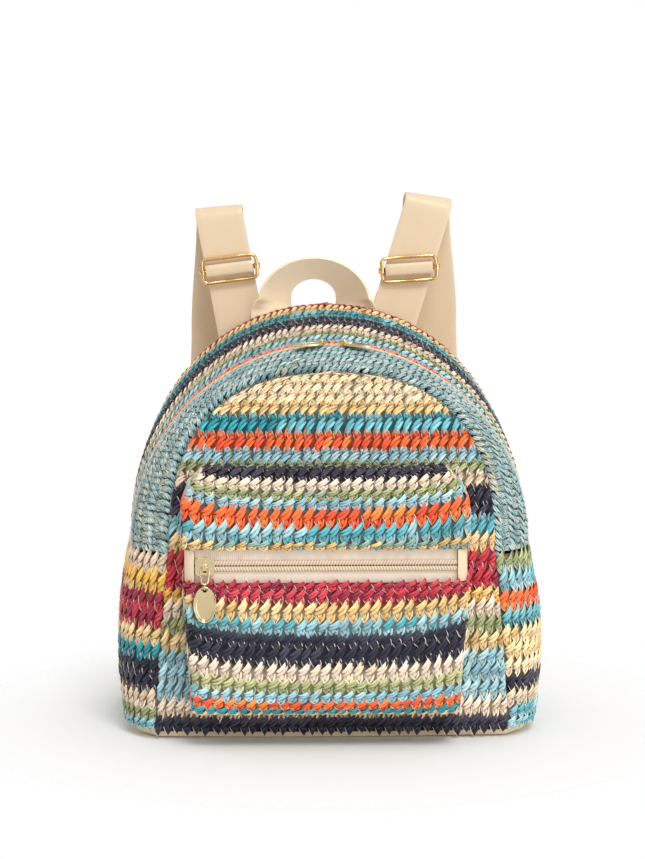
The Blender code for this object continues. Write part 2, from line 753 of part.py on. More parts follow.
def tag(name, matrix, parent):
    """Oval tag with a raised rim, hung from its hole, which is the origin."""
    centre = Vector((0, 0, -(TAG_HALF_LENGTH - TAG_HOLE_INSET)))
    face = TAG_THICK / 2

    def oval(half_width, half_length, middle, y, steps):
        angles = [2 * math.pi * i / steps for i in range(steps)]
        return [middle + Vector((half_width * math.cos(a), y, half_length * math.sin(a))) for a in angles]

    rings = [oval(TAG_HALF_WIDTH, TAG_HALF_LENGTH, centre, y, 18) for y in (-face, face)]
    body = place(name, ring_stack(name, rings), GOLD, matrix, parent)
    recess = [oval(TAG_HALF_WIDTH - TAG_RIM, TAG_HALF_LENGTH - TAG_RIM, centre, y, 18)
              for y in (-2 * face, TAG_RECESS - face)]
    hole = [oval(TAG_HOLE, TAG_HOLE, Vector(), y, 8) for y in (-2 * face, 2 * face)]
    helpers = [cutter(name + "_recess", ring_stack(name + "_recess", recess), matrix),
               cutter(name + "_hole", ring_stack(name + "_hole", hole), matrix)]
    combine(body, helpers, "DIFFERENCE")
    return body


def zip_pull(prefix, matrix, axis_marker, nose, pose):
    """Slider, link, jump ring and tag. matrix places the frame on the straw's face.

    pose holds how far the link leans out, the ring leans back in and the tag is turned.
    """
    link_lean, ring_lean, tag_yaw = pose
    slider(prefix + "_slider", matrix, axis_marker, nose)
    hinge = matrix @ Matrix.Translation((0, -HINGE_OUT, 0)) @ Matrix.Rotation(-link_lean, 4, "X")
    link_axis = empty(prefix + "_link_axis", hinge.translation, axis_marker)
    wire(prefix + "_link", link_points(), LINK_WIRE, GOLD, True, hinge, link_axis, 1)
    foot = hinge @ Matrix.Translation((0, 0, -LINK_LENGTH)) @ Matrix.Rotation(link_lean + ring_lean, 4, "X")
    ring_axis = empty(prefix + "_ring_axis", foot.translation, link_axis)
    wire(prefix + "_ring", jump_points(), JUMP_WIRE, GOLD, True, foot, ring_axis, 1)
    hang = foot @ Matrix.Translation((0, 0, -jump_reach())) @ Matrix.Rotation(-ring_lean, 4, "X")
    hang = hang @ Matrix.Rotation(tag_yaw, 4, "Y")
    tag_axis = empty(prefix + "_tag_axis", hang.translation, ring_axis)
    tag(prefix + "_tag", hang, tag_axis)


def main_slider_frame(side):
    """Frame on the arch for the main slider on the given side of its crown."""
    angle = (MAIN_SLIDER_MID_X + side * MAIN_SLIDER_X) / ZIP_RADIUS
    centre = Matrix.Translation((0, ZIP_Y, SPRING_Z))
    return (centre @ Matrix.Rotation(angle, 4, "Y") @ Matrix.Translation((0, 0, ZIP_RADIUS))
            @ Matrix.Rotation(math.radians(-90), 4, "X"))


def zip_pulls():
    arch_axis = empty("main_zip_axis", Vector((0, ZIP_Y, SPRING_Z)))
    for name, side in (("left", -1), ("right", 1)):
        pose = (MAIN_LINK_LEAN, MAIN_RING_LEAN, -side * MAIN_TAG_YAW)
        zip_pull(f"main_{name}", main_slider_frame(side), arch_axis, -side, pose)
    x = POCKET_X - pocket_zip_span() + SLIDER_LENGTH / 2 + GAP
    rest = Matrix.Translation((x, POCKET_Y, POCKET_ZIP_Z))
    pocket_axis = empty("pocket_slider_axis", rest.translation)
    zip_pull("pocket", rest, pocket_axis, -1, (POCKET_LINK_LEAN, 0.0, 0.0))


# Webbing

def ribbon(name, path, widths, width, mat):
    """A flat strap: centre points with the direction of its width at each."""
    lines = [[p - w * width / 2, p + w * width / 2] for p, w in zip(path, widths)]
    obj = sheet(name, lines, WEB, mat, 0.0)
    return obj


def square_widths(path, guides):
    """Turns guide directions into unit directions square to the path."""
    widths = []
    for i, guide in enumerate(guides):
        ahead = path[min(i + 1, len(path) - 1)] - path[max(i - 1, 0)]
        ahead.normalize()
        across = guide - ahead * guide.dot(ahead)
        widths.append(across.normalized())
    return widths


def leg_axes(strap):
    """Unit vectors across the strap's front leg, back from it and up along it."""
    climb = strap["top"][1] - STRAP_TOP_TURN - RING_Z
    above_ring = climb - RING_INNER_HEIGHT / 2 - RING_WIRE
    slant = (strap["top"][0] - strap["ring_x"]) / climb
    up = Vector((slant, (STRAP_TOP_Y - LEG_Y) / above_ring, 1)).normalized()
    across = Vector((up.z, 0, -up.x)).normalized()
    return across, up.cross(across), up


def panel_up(strap):
    """The front leg's direction as it lies in the plane of the back panel."""
    up = leg_axes(strap)[2]
    return Vector((up.x, 0, up.z)).normalized()


def ring_bar_offset():
    """Distance from the webbing's centre to the wire that it turns round."""
    return RING_WIRE + GAP + WEB / 2


def ring_centre(strap):
    return Vector((strap["ring_x"], LEG_Y + ring_bar_offset(), RING_Z))


def ring_bar(strap, way):
    """Centre of the ring's upper (+1) or lower (-1) wire."""
    return ring_centre(strap) + panel_up(strap) * way * (RING_INNER_HEIGHT / 2 + RING_WIRE)


def strap_webbing(name, strap):
    """Doubled end, round the ring, up the front leg, over the top and down to the foot."""
    across, back, up = leg_axes(strap)
    turn = ring_bar_offset()
    bar = ring_bar(strap, 1)
    path = [bar + up * STRAP_TAIL + back * turn, bar + back * turn]
    for a in (45, 90, 135):
        angle = math.radians(a)
        path.append(bar + back * turn * math.cos(angle) - up * turn * math.sin(angle))
    path.append(bar - back * turn)
    guides = [across] * len(path)
    top = Vector((strap["top"][0], STRAP_TOP_Y, strap["top"][1] - STRAP_TOP_TURN))
    climb = top - path[-1]
    for share in (0.5, 1.0):
        path.append(bar - back * turn + climb * share)
        guides.append(across)
    level = Vector((1, 0, 0))
    rear = Vector((0, 1, 0))
    centre = top + rear * STRAP_TOP_TURN
    for a in range(30, 181, 30):
        angle = math.radians(a)
        lift = Vector((0, 0, STRAP_TOP_TURN * math.sin(angle)))
        path.append(centre - rear * STRAP_TOP_TURN * math.cos(angle) + lift)
        guides.append(across.lerp(level, a / 180))
    start = path[-1]
    foot_y = STRAP_Y + WEB + GAP
    foot = Vector((strap["side"] * STRAP_FOOT_X, foot_y, STRAP_FOOT_Z))
    steps = 9
    for i in range(1, steps + 1):
        t = i / steps
        x = start.x + (strap["rear_x"] - start.x) * smooth(t / 0.25)
        x += (foot.x - strap["rear_x"]) * smooth((t - 0.25) / 0.75)
        z = start.z + (foot.z - start.z) * t
        y = start.y + (REAR_LEG_Y - start.y) * smooth(t / 0.3)
        y += (foot_y - REAR_LEG_Y) * smooth((t - 0.35) / 0.5)
        path.append(Vector((x, y, z)))
        guides.append(level)
    return ribbon(name, path, square_widths(path, guides), WEB_WIDTH, WEBBING)


def wire_rectangle(half_width, half_height, corner, steps=3):
    """Points round an upright rectangle with round corners, in the XZ plane."""
    points = []
    for quarter, (sx, sz) in enumerate(((1, 1), (-1, 1), (-1, -1), (1, -1))):
        for i in range(steps + 1):
            a = math.pi / 2 * (quarter + i / steps)
            points.append(Vector((sx * (half_width - corner) + corner * math.cos(a), 0,
                                  sz * (half_height - corner) + corner * math.sin(a))))
    return points


def frame_at(spot, across, back):
    """Matrix at a point with X across the strap and Y towards its back."""
    y = (back - across * back.dot(across)).normalized()
    z = across.cross(y)
    axes = Matrix((across, y, z)).transposed().to_4x4()
    return Matrix.Translation(spot) @ axes


def strap_ring(name, strap):
    half_width = WEB_WIDTH / 2 + GAP * 2 + RING_WIRE
    half_height = RING_INNER_HEIGHT / 2 + RING_WIRE
    points = wire_rectangle(half_width, half_height, RING_CORNER, 2)
    matrix = frame_at(ring_centre(strap), leg_axes(strap)[0], Vector((0, 1, 0)))
    return wire(name, points, RING_WIRE, GOLD, True, matrix)


def ring_tab(name, strap):
    """Short webbing sewn to the back panel, folded round the ring's lower wire."""
    across, up = leg_axes(strap)[0], panel_up(strap)
    turn = ring_bar_offset()
    back = Vector((0, 1, 0))
    bar = ring_bar(strap, -1)
    path = [bar - up * TAB_LENGTH - back * turn, bar - back * turn]
    for a in (45, 90, 135):
        angle = math.radians(a)
        path.append(bar - back * turn * math.cos(angle) + up * turn * math.sin(angle))
    path += [bar + back * turn, bar - up * TAB_LENGTH * 0.85 + back * turn * 0.6]
    return ribbon(name, path, square_widths(path, [across] * len(path)), WEB_WIDTH, WEBBING)


def foot_tab(name, strap):
    """Cloth tab at the foot of the back panel, under the strap's lower end."""
    side = strap["side"]
    z0 = BASE_HEIGHT + GAP
    outer = STRAP_FOOT_X + FOOT_TAB_WIDTH / 2
    inner = STRAP_FOOT_X - FOOT_TAB_WIDTH / 2
    profile = [(outer, z0), (outer, z0 + FOOT_TAB_OUTER), (inner + FOOT_TAB_SLANT, z0 + FOOT_TAB_INNER),
               (inner, z0)]
    rings = [[Vector((side * x, y, z)) for x, z in profile]
             for y in (STRAP_Y - WEB / 2, STRAP_Y + WEB / 2)]
    return place(name, ring_stack(name, rings), CLOTH)


def adjuster(side_name, strap):
    """Wire frame, centre bar gripping its side wires, and the webbing end round the bar."""
    back, up = leg_axes(strap)[1:]
    loop_half = ADJUSTER_BAR + GAP + WEB
    in_front = ring_bar_offset() + WEB / 2 + GAP + loop_half
    bar = ring_bar(strap, 1)
    centre = bar - back * in_front + up * (strap["adjuster_z"] - bar.z) / up.z
    marker = empty(f"adjuster_{side_name}_axis", centre)
    tilt = strap["tilt"]
    frame = frame_at(centre, Vector((math.cos(tilt), 0, math.sin(tilt))), back)
    half_width = WEB_WIDTH / 2 + GAP + EYE_RADIUS
    half_height = ADJUSTER_HEIGHT / 2 - RING_WIRE
    points = wire_rectangle(half_width, half_height, ADJUSTER_CORNER)
    wire(f"adjuster_frame_{side_name}", points, RING_WIRE, GOLD, True, frame, marker)
    adjuster_bar(f"adjuster_bar_{side_name}", half_width, frame, marker)
    steps = 10
    radius = ADJUSTER_BAR + GAP + WEB / 2
    lines = []
    for i in range(steps + 1):
        a = math.radians(-60 + 300 * i / steps)
        bulge = 1.0 + 0.9 * max(0.0, math.sin(a))
        point = Vector((0, -radius * math.sin(a), radius * bulge * math.cos(a)))
        lines.append([point - Vector((WEB_WIDTH / 2, 0, 0)), point + Vector((WEB_WIDTH / 2, 0, 0))])
    loop = place(f"strap_end_{side_name}", grid_mesh(f"strap_end_{side_name}", lines), WEBBING, frame, marker)
    thicken = loop.modifiers.new("thickness", "SOLIDIFY")
    thicken.thickness = WEB
    thicken.offset = 0.0
    thicken.use_even_offset = True


def adjuster_bar(name, half_width, frame, marker):
    """Round bar with an eye at each end, bored to slide on the frame's side wires."""
    bm = bmesh.new()
    bmesh.ops.create_cone(bm, cap_ends=True, segments=8, radius1=ADJUSTER_BAR, radius2=ADJUSTER_BAR,
                          depth=2 * half_width)
    bmesh.ops.rotate(bm, verts=bm.verts, cent=(0, 0, 0), matrix=Matrix.Rotation(math.radians(90), 3, "Y"))
    mesh = bpy.data.meshes.new(name)
    bm.to_mesh(mesh)
    bm.free()
    bar = place(name, mesh, GOLD, frame, marker)
    eyes, bores = [], []
    for i, side in enumerate((-1, 1)):
        at = frame @ Matrix.Translation((side * half_width, 0, 0))
        eyes.append(cutter(f"{name}_eye_{i}", round_post(name, EYE_RADIUS, EYE_LENGTH, 12), at))
        bores.append(cutter(f"{name}_bore_{i}", round_post(name, RING_WIRE + GAP, 2 * EYE_LENGTH, 12), at))
    combine(bar, eyes, "UNION")
    combine(bar, bores, "DIFFERENCE")


def round_post(name, radius, depth, segments):
    bm = bmesh.new()
    bmesh.ops.create_cone(bm, cap_ends=True, segments=segments, radius1=radius, radius2=radius, depth=depth)
    mesh = bpy.data.meshes.new(name)
    bm.to_mesh(mesh)
    bm.free()
    return mesh


def handle():
    """Webbing arch sewn to the top of the back panel, twisted so that its outer edge leans forward."""
    path, guides = [], []
    level = Vector((1, 0, 0))
    back = Vector((0, 1, 0))

    def centre_y(twist):
        """Keeps the outer edge at the panel's face, then a little in front of it above the body."""
        return STRAP_Y + WEB_WIDTH / 2 * math.sin(twist) - HANDLE_FORWARD * min(1.0, twist / HANDLE_SIDE_TWIST)

    def leg(side):
        points = []
        for share in (0.0, 0.35, 0.6, 0.8):
            z = HANDLE_FOOT_Z + (HANDLE_SPRING_Z - HANDLE_FOOT_Z) * share
            twist = HANDLE_SIDE_TWIST * smooth((share - 0.55) / 0.45)
            point = Vector((HANDLE_X + side * HANDLE_HALF_SPAN, centre_y(twist), z))
            points.append((point, level * side * math.cos(twist) - back * math.sin(twist)))
        return points

    for point, guide in leg(-1):
        path.append(point)
        guides.append(guide)
    steps = 12
    for i in range(steps + 1):
        a = math.pi * (1 - i / steps)
        radial = Vector((math.cos(a), 0, math.sin(a)))
        twist = HANDLE_SIDE_TWIST + (HANDLE_TOP_TWIST - HANDLE_SIDE_TWIST) * math.sin(a)
        path.append(Vector((HANDLE_X + HANDLE_HALF_SPAN * math.cos(a), centre_y(HANDLE_SIDE_TWIST),
                            HANDLE_SPRING_Z + HANDLE_RISE * math.sin(a))))
        guides.append(radial * math.cos(twist) - back * math.sin(twist))
    for point, guide in reversed(leg(1)):
        path.append(point)
        guides.append(guide)
    return ribbon("handle", path, square_widths(path, guides), WEB_WIDTH, WEBBING)


# Assembly

def body():
    front_panel()
    front_gusset()
    rear_gusset()
    side_panel("side_panel_left", -1)
    side_panel("side_panel_right", 1)
    back_panel()
    base_panel()
    main_tape("main_zip_tape_rear", 1)
    main_tape("main_zip_tape_front", -1)
    main_coil("main_zip_coil_rear", 1)
    main_coil("main_zip_coil_front", -1)


def pocket():
    pocket_upper()
    pocket_lower()
    for name, side in (("upper", 1), ("lower", -1)):
        pocket_tape(f"pocket_zip_tape_{name}", side)
        pocket_coil(f"pocket_zip_coil_{name}", side)
    pocket_end_tab("pocket_zip_tab_left", -1)
    pocket_end_tab("pocket_zip_tab_right", 1)


def straps():
    for name, strap in (("left", LEFT_STRAP), ("right", RIGHT_STRAP)):
        strap_webbing(f"strap_{name}", strap)
        strap_ring(f"strap_ring_{name}", strap)
        ring_tab(f"strap_ring_tab_{name}", strap)
        foot_tab(f"strap_foot_tab_{name}", strap)
        adjuster(name, strap)
    handle()


body()
pocket()
zip_pulls()
straps()
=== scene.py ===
"""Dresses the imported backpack: crocheted straw, satin webbing, zips, gold fittings, camera and light."""
import math

import bpy
import numpy as np
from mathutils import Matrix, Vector


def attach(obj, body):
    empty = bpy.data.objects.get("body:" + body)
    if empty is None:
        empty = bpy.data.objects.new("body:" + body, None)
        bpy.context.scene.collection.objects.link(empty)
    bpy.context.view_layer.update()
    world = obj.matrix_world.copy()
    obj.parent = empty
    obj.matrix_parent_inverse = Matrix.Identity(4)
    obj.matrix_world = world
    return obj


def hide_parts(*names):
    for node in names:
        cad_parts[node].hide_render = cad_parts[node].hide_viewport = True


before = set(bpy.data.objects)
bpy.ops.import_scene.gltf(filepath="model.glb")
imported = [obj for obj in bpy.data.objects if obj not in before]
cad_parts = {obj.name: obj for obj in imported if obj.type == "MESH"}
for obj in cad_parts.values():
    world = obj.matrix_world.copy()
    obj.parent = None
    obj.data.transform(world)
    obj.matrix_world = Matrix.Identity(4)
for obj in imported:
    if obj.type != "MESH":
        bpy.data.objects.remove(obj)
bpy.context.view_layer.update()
bpy.ops.object.select_all(action="DESELECT")
rng = np.random.default_rng(20)

# Sizes in metres, as on the frame
FABRIC, RIDGE = 0.0024, 0.0010     # a straw panel's thickness, and how far its courses stand out
GAP = 0.0003                       # between parts that lie on each other
WEB, WEB_WIDTH = 0.0014, 0.028
SPRING_Z = 0.106                   # where the straight sides end and the arch begins
BACK_Y, ZIP_Y, FRONT_Y = 0.054, -0.016, -0.056
ZIP_RADIUS, ZIP_OPENING, ZIP_LAP = 0.112, 0.012, 0.004
BACK_HALF_WIDTH, BACK_RISE, BACK_ROUNDNESS = 0.112, 0.1295, 2.1
FRONT_HALF_WIDTH, FRONT_RISE, FRONT_ROUNDNESS = 0.0935, 0.1035, 2.5
FRONT_TURN, FRONT_BELLY = math.radians(60), 0.0075
SIDE_SWELL, SIDE_FLARE, FRONT_FLARE, GUSSET_BELLY = 0.0052, 0.0042, 0.0040, 0.0020
BASE_HEIGHT = 0.0065
POCKET_X, POCKET_Y = -0.0040, -0.089
POCKET_FOOT_Z, POCKET_ZIP_Z, POCKET_TOP_Z = 0.0205, 0.104, 0.1545
POCKET_FOOT_HALF, POCKET_ZIP_HALF = 0.0735, 0.0780
POCKET_CORNER, POCKET_ROLL, POCKET_SHOULDER = 0.005, 0.009, 0.022
POCKET_ZIP_OPENING, POCKET_ZIP_TAB = 0.0185, 0.001
BACK_FACE_Y = BACK_Y + GAP + FABRIC + RIDGE
TOOTH = 0.0016                     # from one tooth of a zip to the next

# From one stitch to the next: as the stitch is drawn, then on the panels and the gussets
PITCH, FRONT_PITCH, BACK_PITCH, GUSSET_PITCH, BAND_PITCH = 0.0061, 0.0054, 0.0078, 0.0040, 0.0038
EDGE_MARGIN = 0.0006               # between the stitches' ends and a panel's edge
RIM_LAP, LAP_SLOPE = 0.0026, 0.05  # how far the side panels' stitches lap over the front rim, and their lean


# Dyes of the straw, as colours from 0 to 255 with how often each turns up

DYES = {
    "straw": [((230, 194, 132), 5), ((242, 214, 166), 4), ((212, 170, 100), 3)],
    "pale_straw": [((240, 214, 172), 5), ((244, 222, 190), 3), ((228, 194, 142), 3)],
    "gold_straw": [((224, 188, 126), 5), ((234, 206, 154), 4), ((206, 166, 102), 2)],
    "cream": [((236, 215, 194), 6), ((228, 204, 178), 3), ((212, 186, 154), 2)],
    "light_blue": [((150, 192, 202), 6), ((178, 210, 214), 4), ((122, 170, 184), 3)],
    "teal": [((36, 156, 168), 5), ((20, 124, 138), 4), ((132, 190, 198), 3)],
    "blue": [((142, 184, 194), 5), ((40, 156, 168), 3), ((168, 206, 210), 3)],
    "orange": [((244, 104, 50), 6), ((226, 66, 46), 3), ((250, 146, 70), 4)],
    "coral": [((246, 120, 88), 5), ((240, 96, 80), 3), ((248, 152, 100), 2)],
    "red": [((190, 48, 66), 6), ((138, 38, 68), 4), ((210, 72, 82), 3)],
    "maroon": [((152, 40, 68), 5), ((186, 52, 70), 3), ((126, 34, 66), 2)],
    "yellow": [((240, 186, 80), 6), ((230, 170, 66), 3), ((242, 208, 138), 3)],
    "green": [((174, 178, 122), 5), ((136, 144, 96), 4), ((202, 202, 158), 3), ((150, 176, 166), 1)],
    "navy": [((44, 44, 62), 6), ((30, 30, 46), 4), ((64, 62, 80), 3)],
    "mottled_blue": [((146, 182, 186), 5), ((186, 206, 202), 4), ((108, 146, 156), 3), ((198, 192, 166), 2)],
    "beads": [((236, 200, 136), 6), ((60, 160, 170), 2), ((216, 170, 100), 2)],
}
THREAD = (240, 228, 206)
PAINTED_GAP_SHADE = 0.36      # how light the ground is against its stitches: painted shade in the gaps between them
DYE_EVENNESS = 0.35      # how far the dyes of one course are drawn to their average
DYE_WANDER = 0.16        # how far a stitch's dye strays from its neighbours'
WARP_SHARE = 0.35        # how strong the warp of woven cloth is against its weft


def linear(colour):
    """Linear values of a colour given from 0 to 255."""
    c = np.asarray(colour, float) / 255
    return np.where(c <= 0.04045, c / 12.92, ((c + 0.055) / 1.055) ** 2.4)


def dye_along(name, count, run):
    """A colour for each stitch of a course: about run stitches of one lot of straw, then the next."""
    shades, weights = zip(*DYES[name])
    edges = np.cumsum(weights) / sum(weights)
    knots = np.arange(0, count + 2 * run, run)
    slow = np.interp(np.arange(count) + rng.random() * 6, knots, rng.random(len(knots)))
    place = np.clip(((1 - DYE_WANDER) * slow + DYE_WANDER * rng.random(count) - 0.12) / 0.76, 0, 0.999)
    tones = np.array([linear(shade) for shade in shades])
    colours = tones[np.searchsorted(edges, place)]
    colours += DYE_EVENNESS * (np.average(tones, axis=0, weights=weights) - colours)
    return colours * (1 + rng.normal(0, 0.06, (count, 1)))


# Materials

def wire(tree, node, sockets):
    """Gives a node's sockets their values, or links the outputs of other nodes to them."""
    for key, value in sockets.items():
        if isinstance(value, bpy.types.NodeSocket):
            tree.links.new(value, node.inputs[key])
        else:
            node.inputs[key].default_value = value


def add(tree, kind, sockets=None, **settings):
    """The outputs of a new shader node."""
    node = tree.nodes.new("ShaderNode" + kind)
    for key, value in settings.items():
        setattr(node, key, value)
    wire(tree, node, sockets or {})
    return node.outputs


def new_material(name):
    mat = bpy.data.materials.new(name)
    mat.use_nodes = True
    return mat, mat.node_tree, mat.node_tree.nodes["Principled BSDF"]


def bump(tree, height, strength, distance):
    return add(tree, "Bump", {"Strength": strength, "Distance": distance, "Height": height})["Normal"]


def noise(tree, vector, scale, detail=3.0, stretch=(1, 1, 1)):
    mapped = add(tree, "Mapping", {"Scale": stretch, "Vector": vector})["Vector"]
    return add(tree, "TexNoise", {"Scale": scale, "Detail": detail, "Vector": mapped})["Fac"]


def ranged(tree, value, low, high, start=0.0, end=1.0):
    """Brings a value that runs from start to end to the run from low to high."""
    return add(tree, "MapRange", {"Value": value, "From Min": start, "From Max": end,
                                  "To Min": low, "To Max": high})["Result"]


def tint(tree, colour, fac, low, high):
    """Multiplies a colour by a grey that runs from low to high with fac."""
    grey = ranged(tree, fac, low, high)
    return add(tree, "VectorMath", {0: colour, "Scale": grey}, operation="SCALE")["Vector"]


def wave(tree, place, length, shape):
    """A SINE or COSINE of a place, with one turn to each length."""
    turns = add(tree, "Math", {0: place, 1: 2 * math.pi / length}, operation="MULTIPLY")[0]
    return add(tree, "Math", {0: turns}, operation=shape)[0]


def straw_material():
    """Folded paper ribbon: creased lengthwise, a little glossy, dyed stitch by stitch."""
    mat, tree, shader = new_material("straw_ribbon")
    where = add(tree, "TexCoord")
    creases_and_painted_shade = noise(tree, where["UV"], 7.0, 3.0, (0.45, 2.2, 1.0))
    speckle_and_painted_glints = noise(tree, where["Object"], 1500.0, 2.0)
    dye = add(tree, "Attribute", attribute_name="dye")["Color"]
    # Painted light and shade: creases lighten and darken the dye along the folds; speckle, partly random tone,
    # paints glints
    wire(tree, shader, {"Base Color": tint(tree, tint(tree, dye, creases_and_painted_shade, 0.42, 1.58), speckle_and_painted_glints, 0.62, 1.38),
                        "Roughness": ranged(tree, speckle_and_painted_glints, 0.24, 0.52),
                        "Normal": bump(tree, creases_and_painted_shade, 0.7, 0.0005)})
    return mat


def thread_material():
    """Ecru thread, faintly uneven in tone."""
    mat, tree, shader = new_material("ecru_thread")
    twist = noise(tree, add(tree, "TexCoord")["Object"], 1400.0, 2.0)
    wire(tree, shader, {"Base Color": tint(tree, linear(THREAD), twist, 0.85, 1.1), "Roughness": 0.6,
                        "Normal": bump(tree, twist, 0.4, 0.0002)})
    return mat


def painted_shade_ground_material():
    """Painted shade: the backs of the stitches seen between them, as their dye darkened, mottled at random and
    into darker holes.
    """
    mat, tree, shader = new_material("straw_ground")
    mottle_and_painted_holes = noise(tree, add(tree, "TexCoord")["Object"], 420.0)
    dye = add(tree, "Attribute", attribute_name="dye")["Color"]
    wire(tree, shader, {"Base Color": tint(tree, dye, mottle_and_painted_holes, 0.25, 1.5), "Roughness": 0.85,
                        "Normal": bump(tree, mottle_and_painted_holes, 0.6, 0.0006)})
    return mat


def woven_material(name, colour, rib, sheen, rough, depth=0.00012, tone=0.05):
    """Cloth whose weft ribs run across it, rib metres apart along the piece's U, with a finer warp."""
    mat, tree, shader = new_material(name)
    where = add(tree, "TexCoord")
    place = add(tree, "SeparateXYZ", {"Vector": where["UV"]})
    weft, warp = wave(tree, place["X"], rib, "SINE"), wave(tree, place["Y"], rib * 0.8, "SINE")
    both = add(tree, "Math", {0: warp, 1: WARP_SHARE, 2: weft}, operation="MULTIPLY_ADD")[0]
    fine = ranged(tree, both, 0.0, 1.0, -1 - WARP_SHARE, 1 + WARP_SHARE)
    blotched = tint(tree, linear(colour), noise(tree, where["Object"], 60.0, 4.0), 0.95, 1.05)
    wire(tree, shader, {"Base Color": tint(tree, blotched, fine, 1 - tone, 1 + tone), "Roughness": rough,
                        "Sheen Weight": sheen, "Sheen Roughness": 0.4, "Normal": bump(tree, both, 0.5, depth)})
    return mat


def gold_material(name, colour):
    """Polished plate, a little smeared and never quite flat."""
    mat, tree, shader = new_material(name)
    where = add(tree, "TexCoord")["Object"]
    wire(tree, shader, {"Base Color": (*linear(colour), 1), "Metallic": 1.0,
                        "Roughness": ranged(tree, noise(tree, where, 160.0), 0.10, 0.26),
                        "Normal": bump(tree, noise(tree, where, 70.0, 0.0), 0.8, 0.002)})
    return mat


def nylon_material():
    """The zips' coils, with painted shade darkening them between their turns."""
    mat, tree, shader = new_material("moulded_nylon")
    where = add(tree, "TexCoord")
    along = add(tree, "SeparateXYZ", {"Vector": where["UV"]})["X"]
    # Painted shade between the coil's turns
    turns = ranged(tree, wave(tree, along, TOOTH, "COSINE"), 0.0, 1.0, -1.0)
    mottled = tint(tree, linear((240, 216, 188)), noise(tree, where["Object"], 300.0, 2.0), 0.92, 1.06)
    wire(tree, shader, {"Base Color": tint(tree, mottled, turns, 0.60, 1.04), "Roughness": 0.42})
    return mat


RIBBON = straw_material()
THREAD_MAT = thread_material()
# The ground is painted shade, seen in the gaps between the stitches
PAINTED_SHADE_GROUND = painted_shade_ground_material()
WEBBING = woven_material("satin_webbing", (227, 203, 171), 0.0018, 0.3, 0.34, 0.00002, 0.012)
# Painted light: the handle is the same satin webbing, made lighter so that its shaded face reads bright
HANDLE_WEBBING_PAINTED_LIGHTER = woven_material("satin_handle_webbing", (250, 232, 202), 0.0018, 0.4, 0.3, 0.00002, 0.008)
TAPE_CLOTH = woven_material("zip_tape_twill", (243, 226, 206), 0.0011, 0.1, 0.6, 0.00006, 0.03)
CLOTH = woven_material("cream_cotton", (236, 216, 182), 0.0011, 0.15, 0.75, 0.00006, 0.03)
GOLD = gold_material("pale_gold_plate", (236, 217, 170))
WARM_GOLD = gold_material("warm_gold_plate", (238, 196, 132))
NYLON = nylon_material()
PIPING = woven_material("straw_piping", (240, 220, 186), 0.0016, 0.1, 0.6)


# Making pieces

OUTWARD = ("normals_make_consistent", {"inside": False})


def pick(obj):
    bpy.ops.object.select_all(action="DESELECT")
    obj.select_set(True)
    bpy.context.view_layer.objects.active = obj


def coords(obj):
    out = np.empty(len(obj.data.vertices) * 3)
    obj.data.vertices.foreach_get("co", out)
    return out.reshape(-1, 3)


def set_coords(obj, points):
    obj.data.vertices.foreach_set("co", np.asarray(points, float).ravel())
    obj.data.update()


def flat_grid(name, across, along):
    """A plane cut into a grid, with its object at the origin."""
    bpy.ops.mesh.primitive_grid_add(x_subdivisions=across, y_subdivisions=along, size=1, calc_uvs=True)
    obj = bpy.context.object
    obj.name = obj.data.name = name
    return obj


def apply(obj, kind, **settings):
    pick(obj)
    modifier = obj.modifiers.new("shape", kind)
    for key, value in settings.items():
        setattr(modifier, key, value)
    bpy.ops.object.modifier_apply(modifier=modifier.name)


def join(name, parts):
    bpy.ops.object.select_all(action="DESELECT")
    for part in parts:
        part.select_set(True)
    bpy.context.view_layer.objects.active = parts[0]
    if len(parts) > 1:
        bpy.ops.object.join()
    obj = bpy.context.object
    obj.name = obj.data.name = name
    return obj


def edit(obj, *steps):
    """Runs mesh operators on the whole of an object, each given as its name and its settings."""
    pick(obj)
    bpy.ops.object.mode_set(mode="EDIT")
    for name, settings in steps:
        bpy.ops.mesh.select_all(action="SELECT")
        getattr(bpy.ops.mesh, name)(**settings)
    bpy.ops.object.mode_set(mode="OBJECT")


def closed_up(obj, mat):
    """Joins the sides of a grid that is rolled up, caps its ends and gives it a material."""
    edit(obj, ("remove_doubles", {"threshold": 1e-7}), ("fill_holes", {"sides": 0}), OUTWARD)
    bpy.ops.object.shade_smooth()
    obj.data.materials.append(mat)
    return obj


def set_dye(obj, colours):
    layer = obj.data.color_attributes.new("dye", "FLOAT_COLOR", "POINT")
    layer.data.foreach_set("color", np.hstack([colours, np.ones((len(colours), 1))]).ravel())


def directions(path):
    """The way forward at each point of a path."""
    ahead = np.gradient(np.asarray(path, float), axis=0)
    return ahead / np.linalg.norm(ahead, axis=1, keepdims=True)


def run_of(path):
    """How far along a path each of its points is."""
    return np.concatenate([[0], np.cumsum(np.linalg.norm(np.diff(path, axis=0), axis=1))])


def rolled(name, path, sizes, sides, mat, up=(0, 0, 1)):
    """A grid rolled round a path into a strand; sizes are its half width and half thickness."""
    ahead = directions(path)
    wide = np.cross(ahead, np.broadcast_to(np.asarray(up, float), path.shape))
    wide /= np.linalg.norm(wide, axis=1, keepdims=True)
    high = np.cross(wide, ahead)
    obj = flat_grid(name, len(path) - 1, sides)
    turn = np.linspace(0, 2 * np.pi, sides + 1)[:, None, None]
    ring = path + np.cos(turn) * wide * sizes[:, :1] + np.sin(turn) * high * sizes[:, 1:]
    set_coords(obj, ring)
    return closed_up(obj, mat)


# Surface of the body, at the grooves between courses

ZIP_FRONT, ZIP_REAR = ZIP_Y - ZIP_OPENING / 2, ZIP_Y + ZIP_OPENING / 2
FRONT_START, BACK_START = ZIP_FRONT - ZIP_LAP, ZIP_REAR + ZIP_LAP
TURN_REACH = (FRONT_START - FRONT_Y) / math.sin(FRONT_TURN)


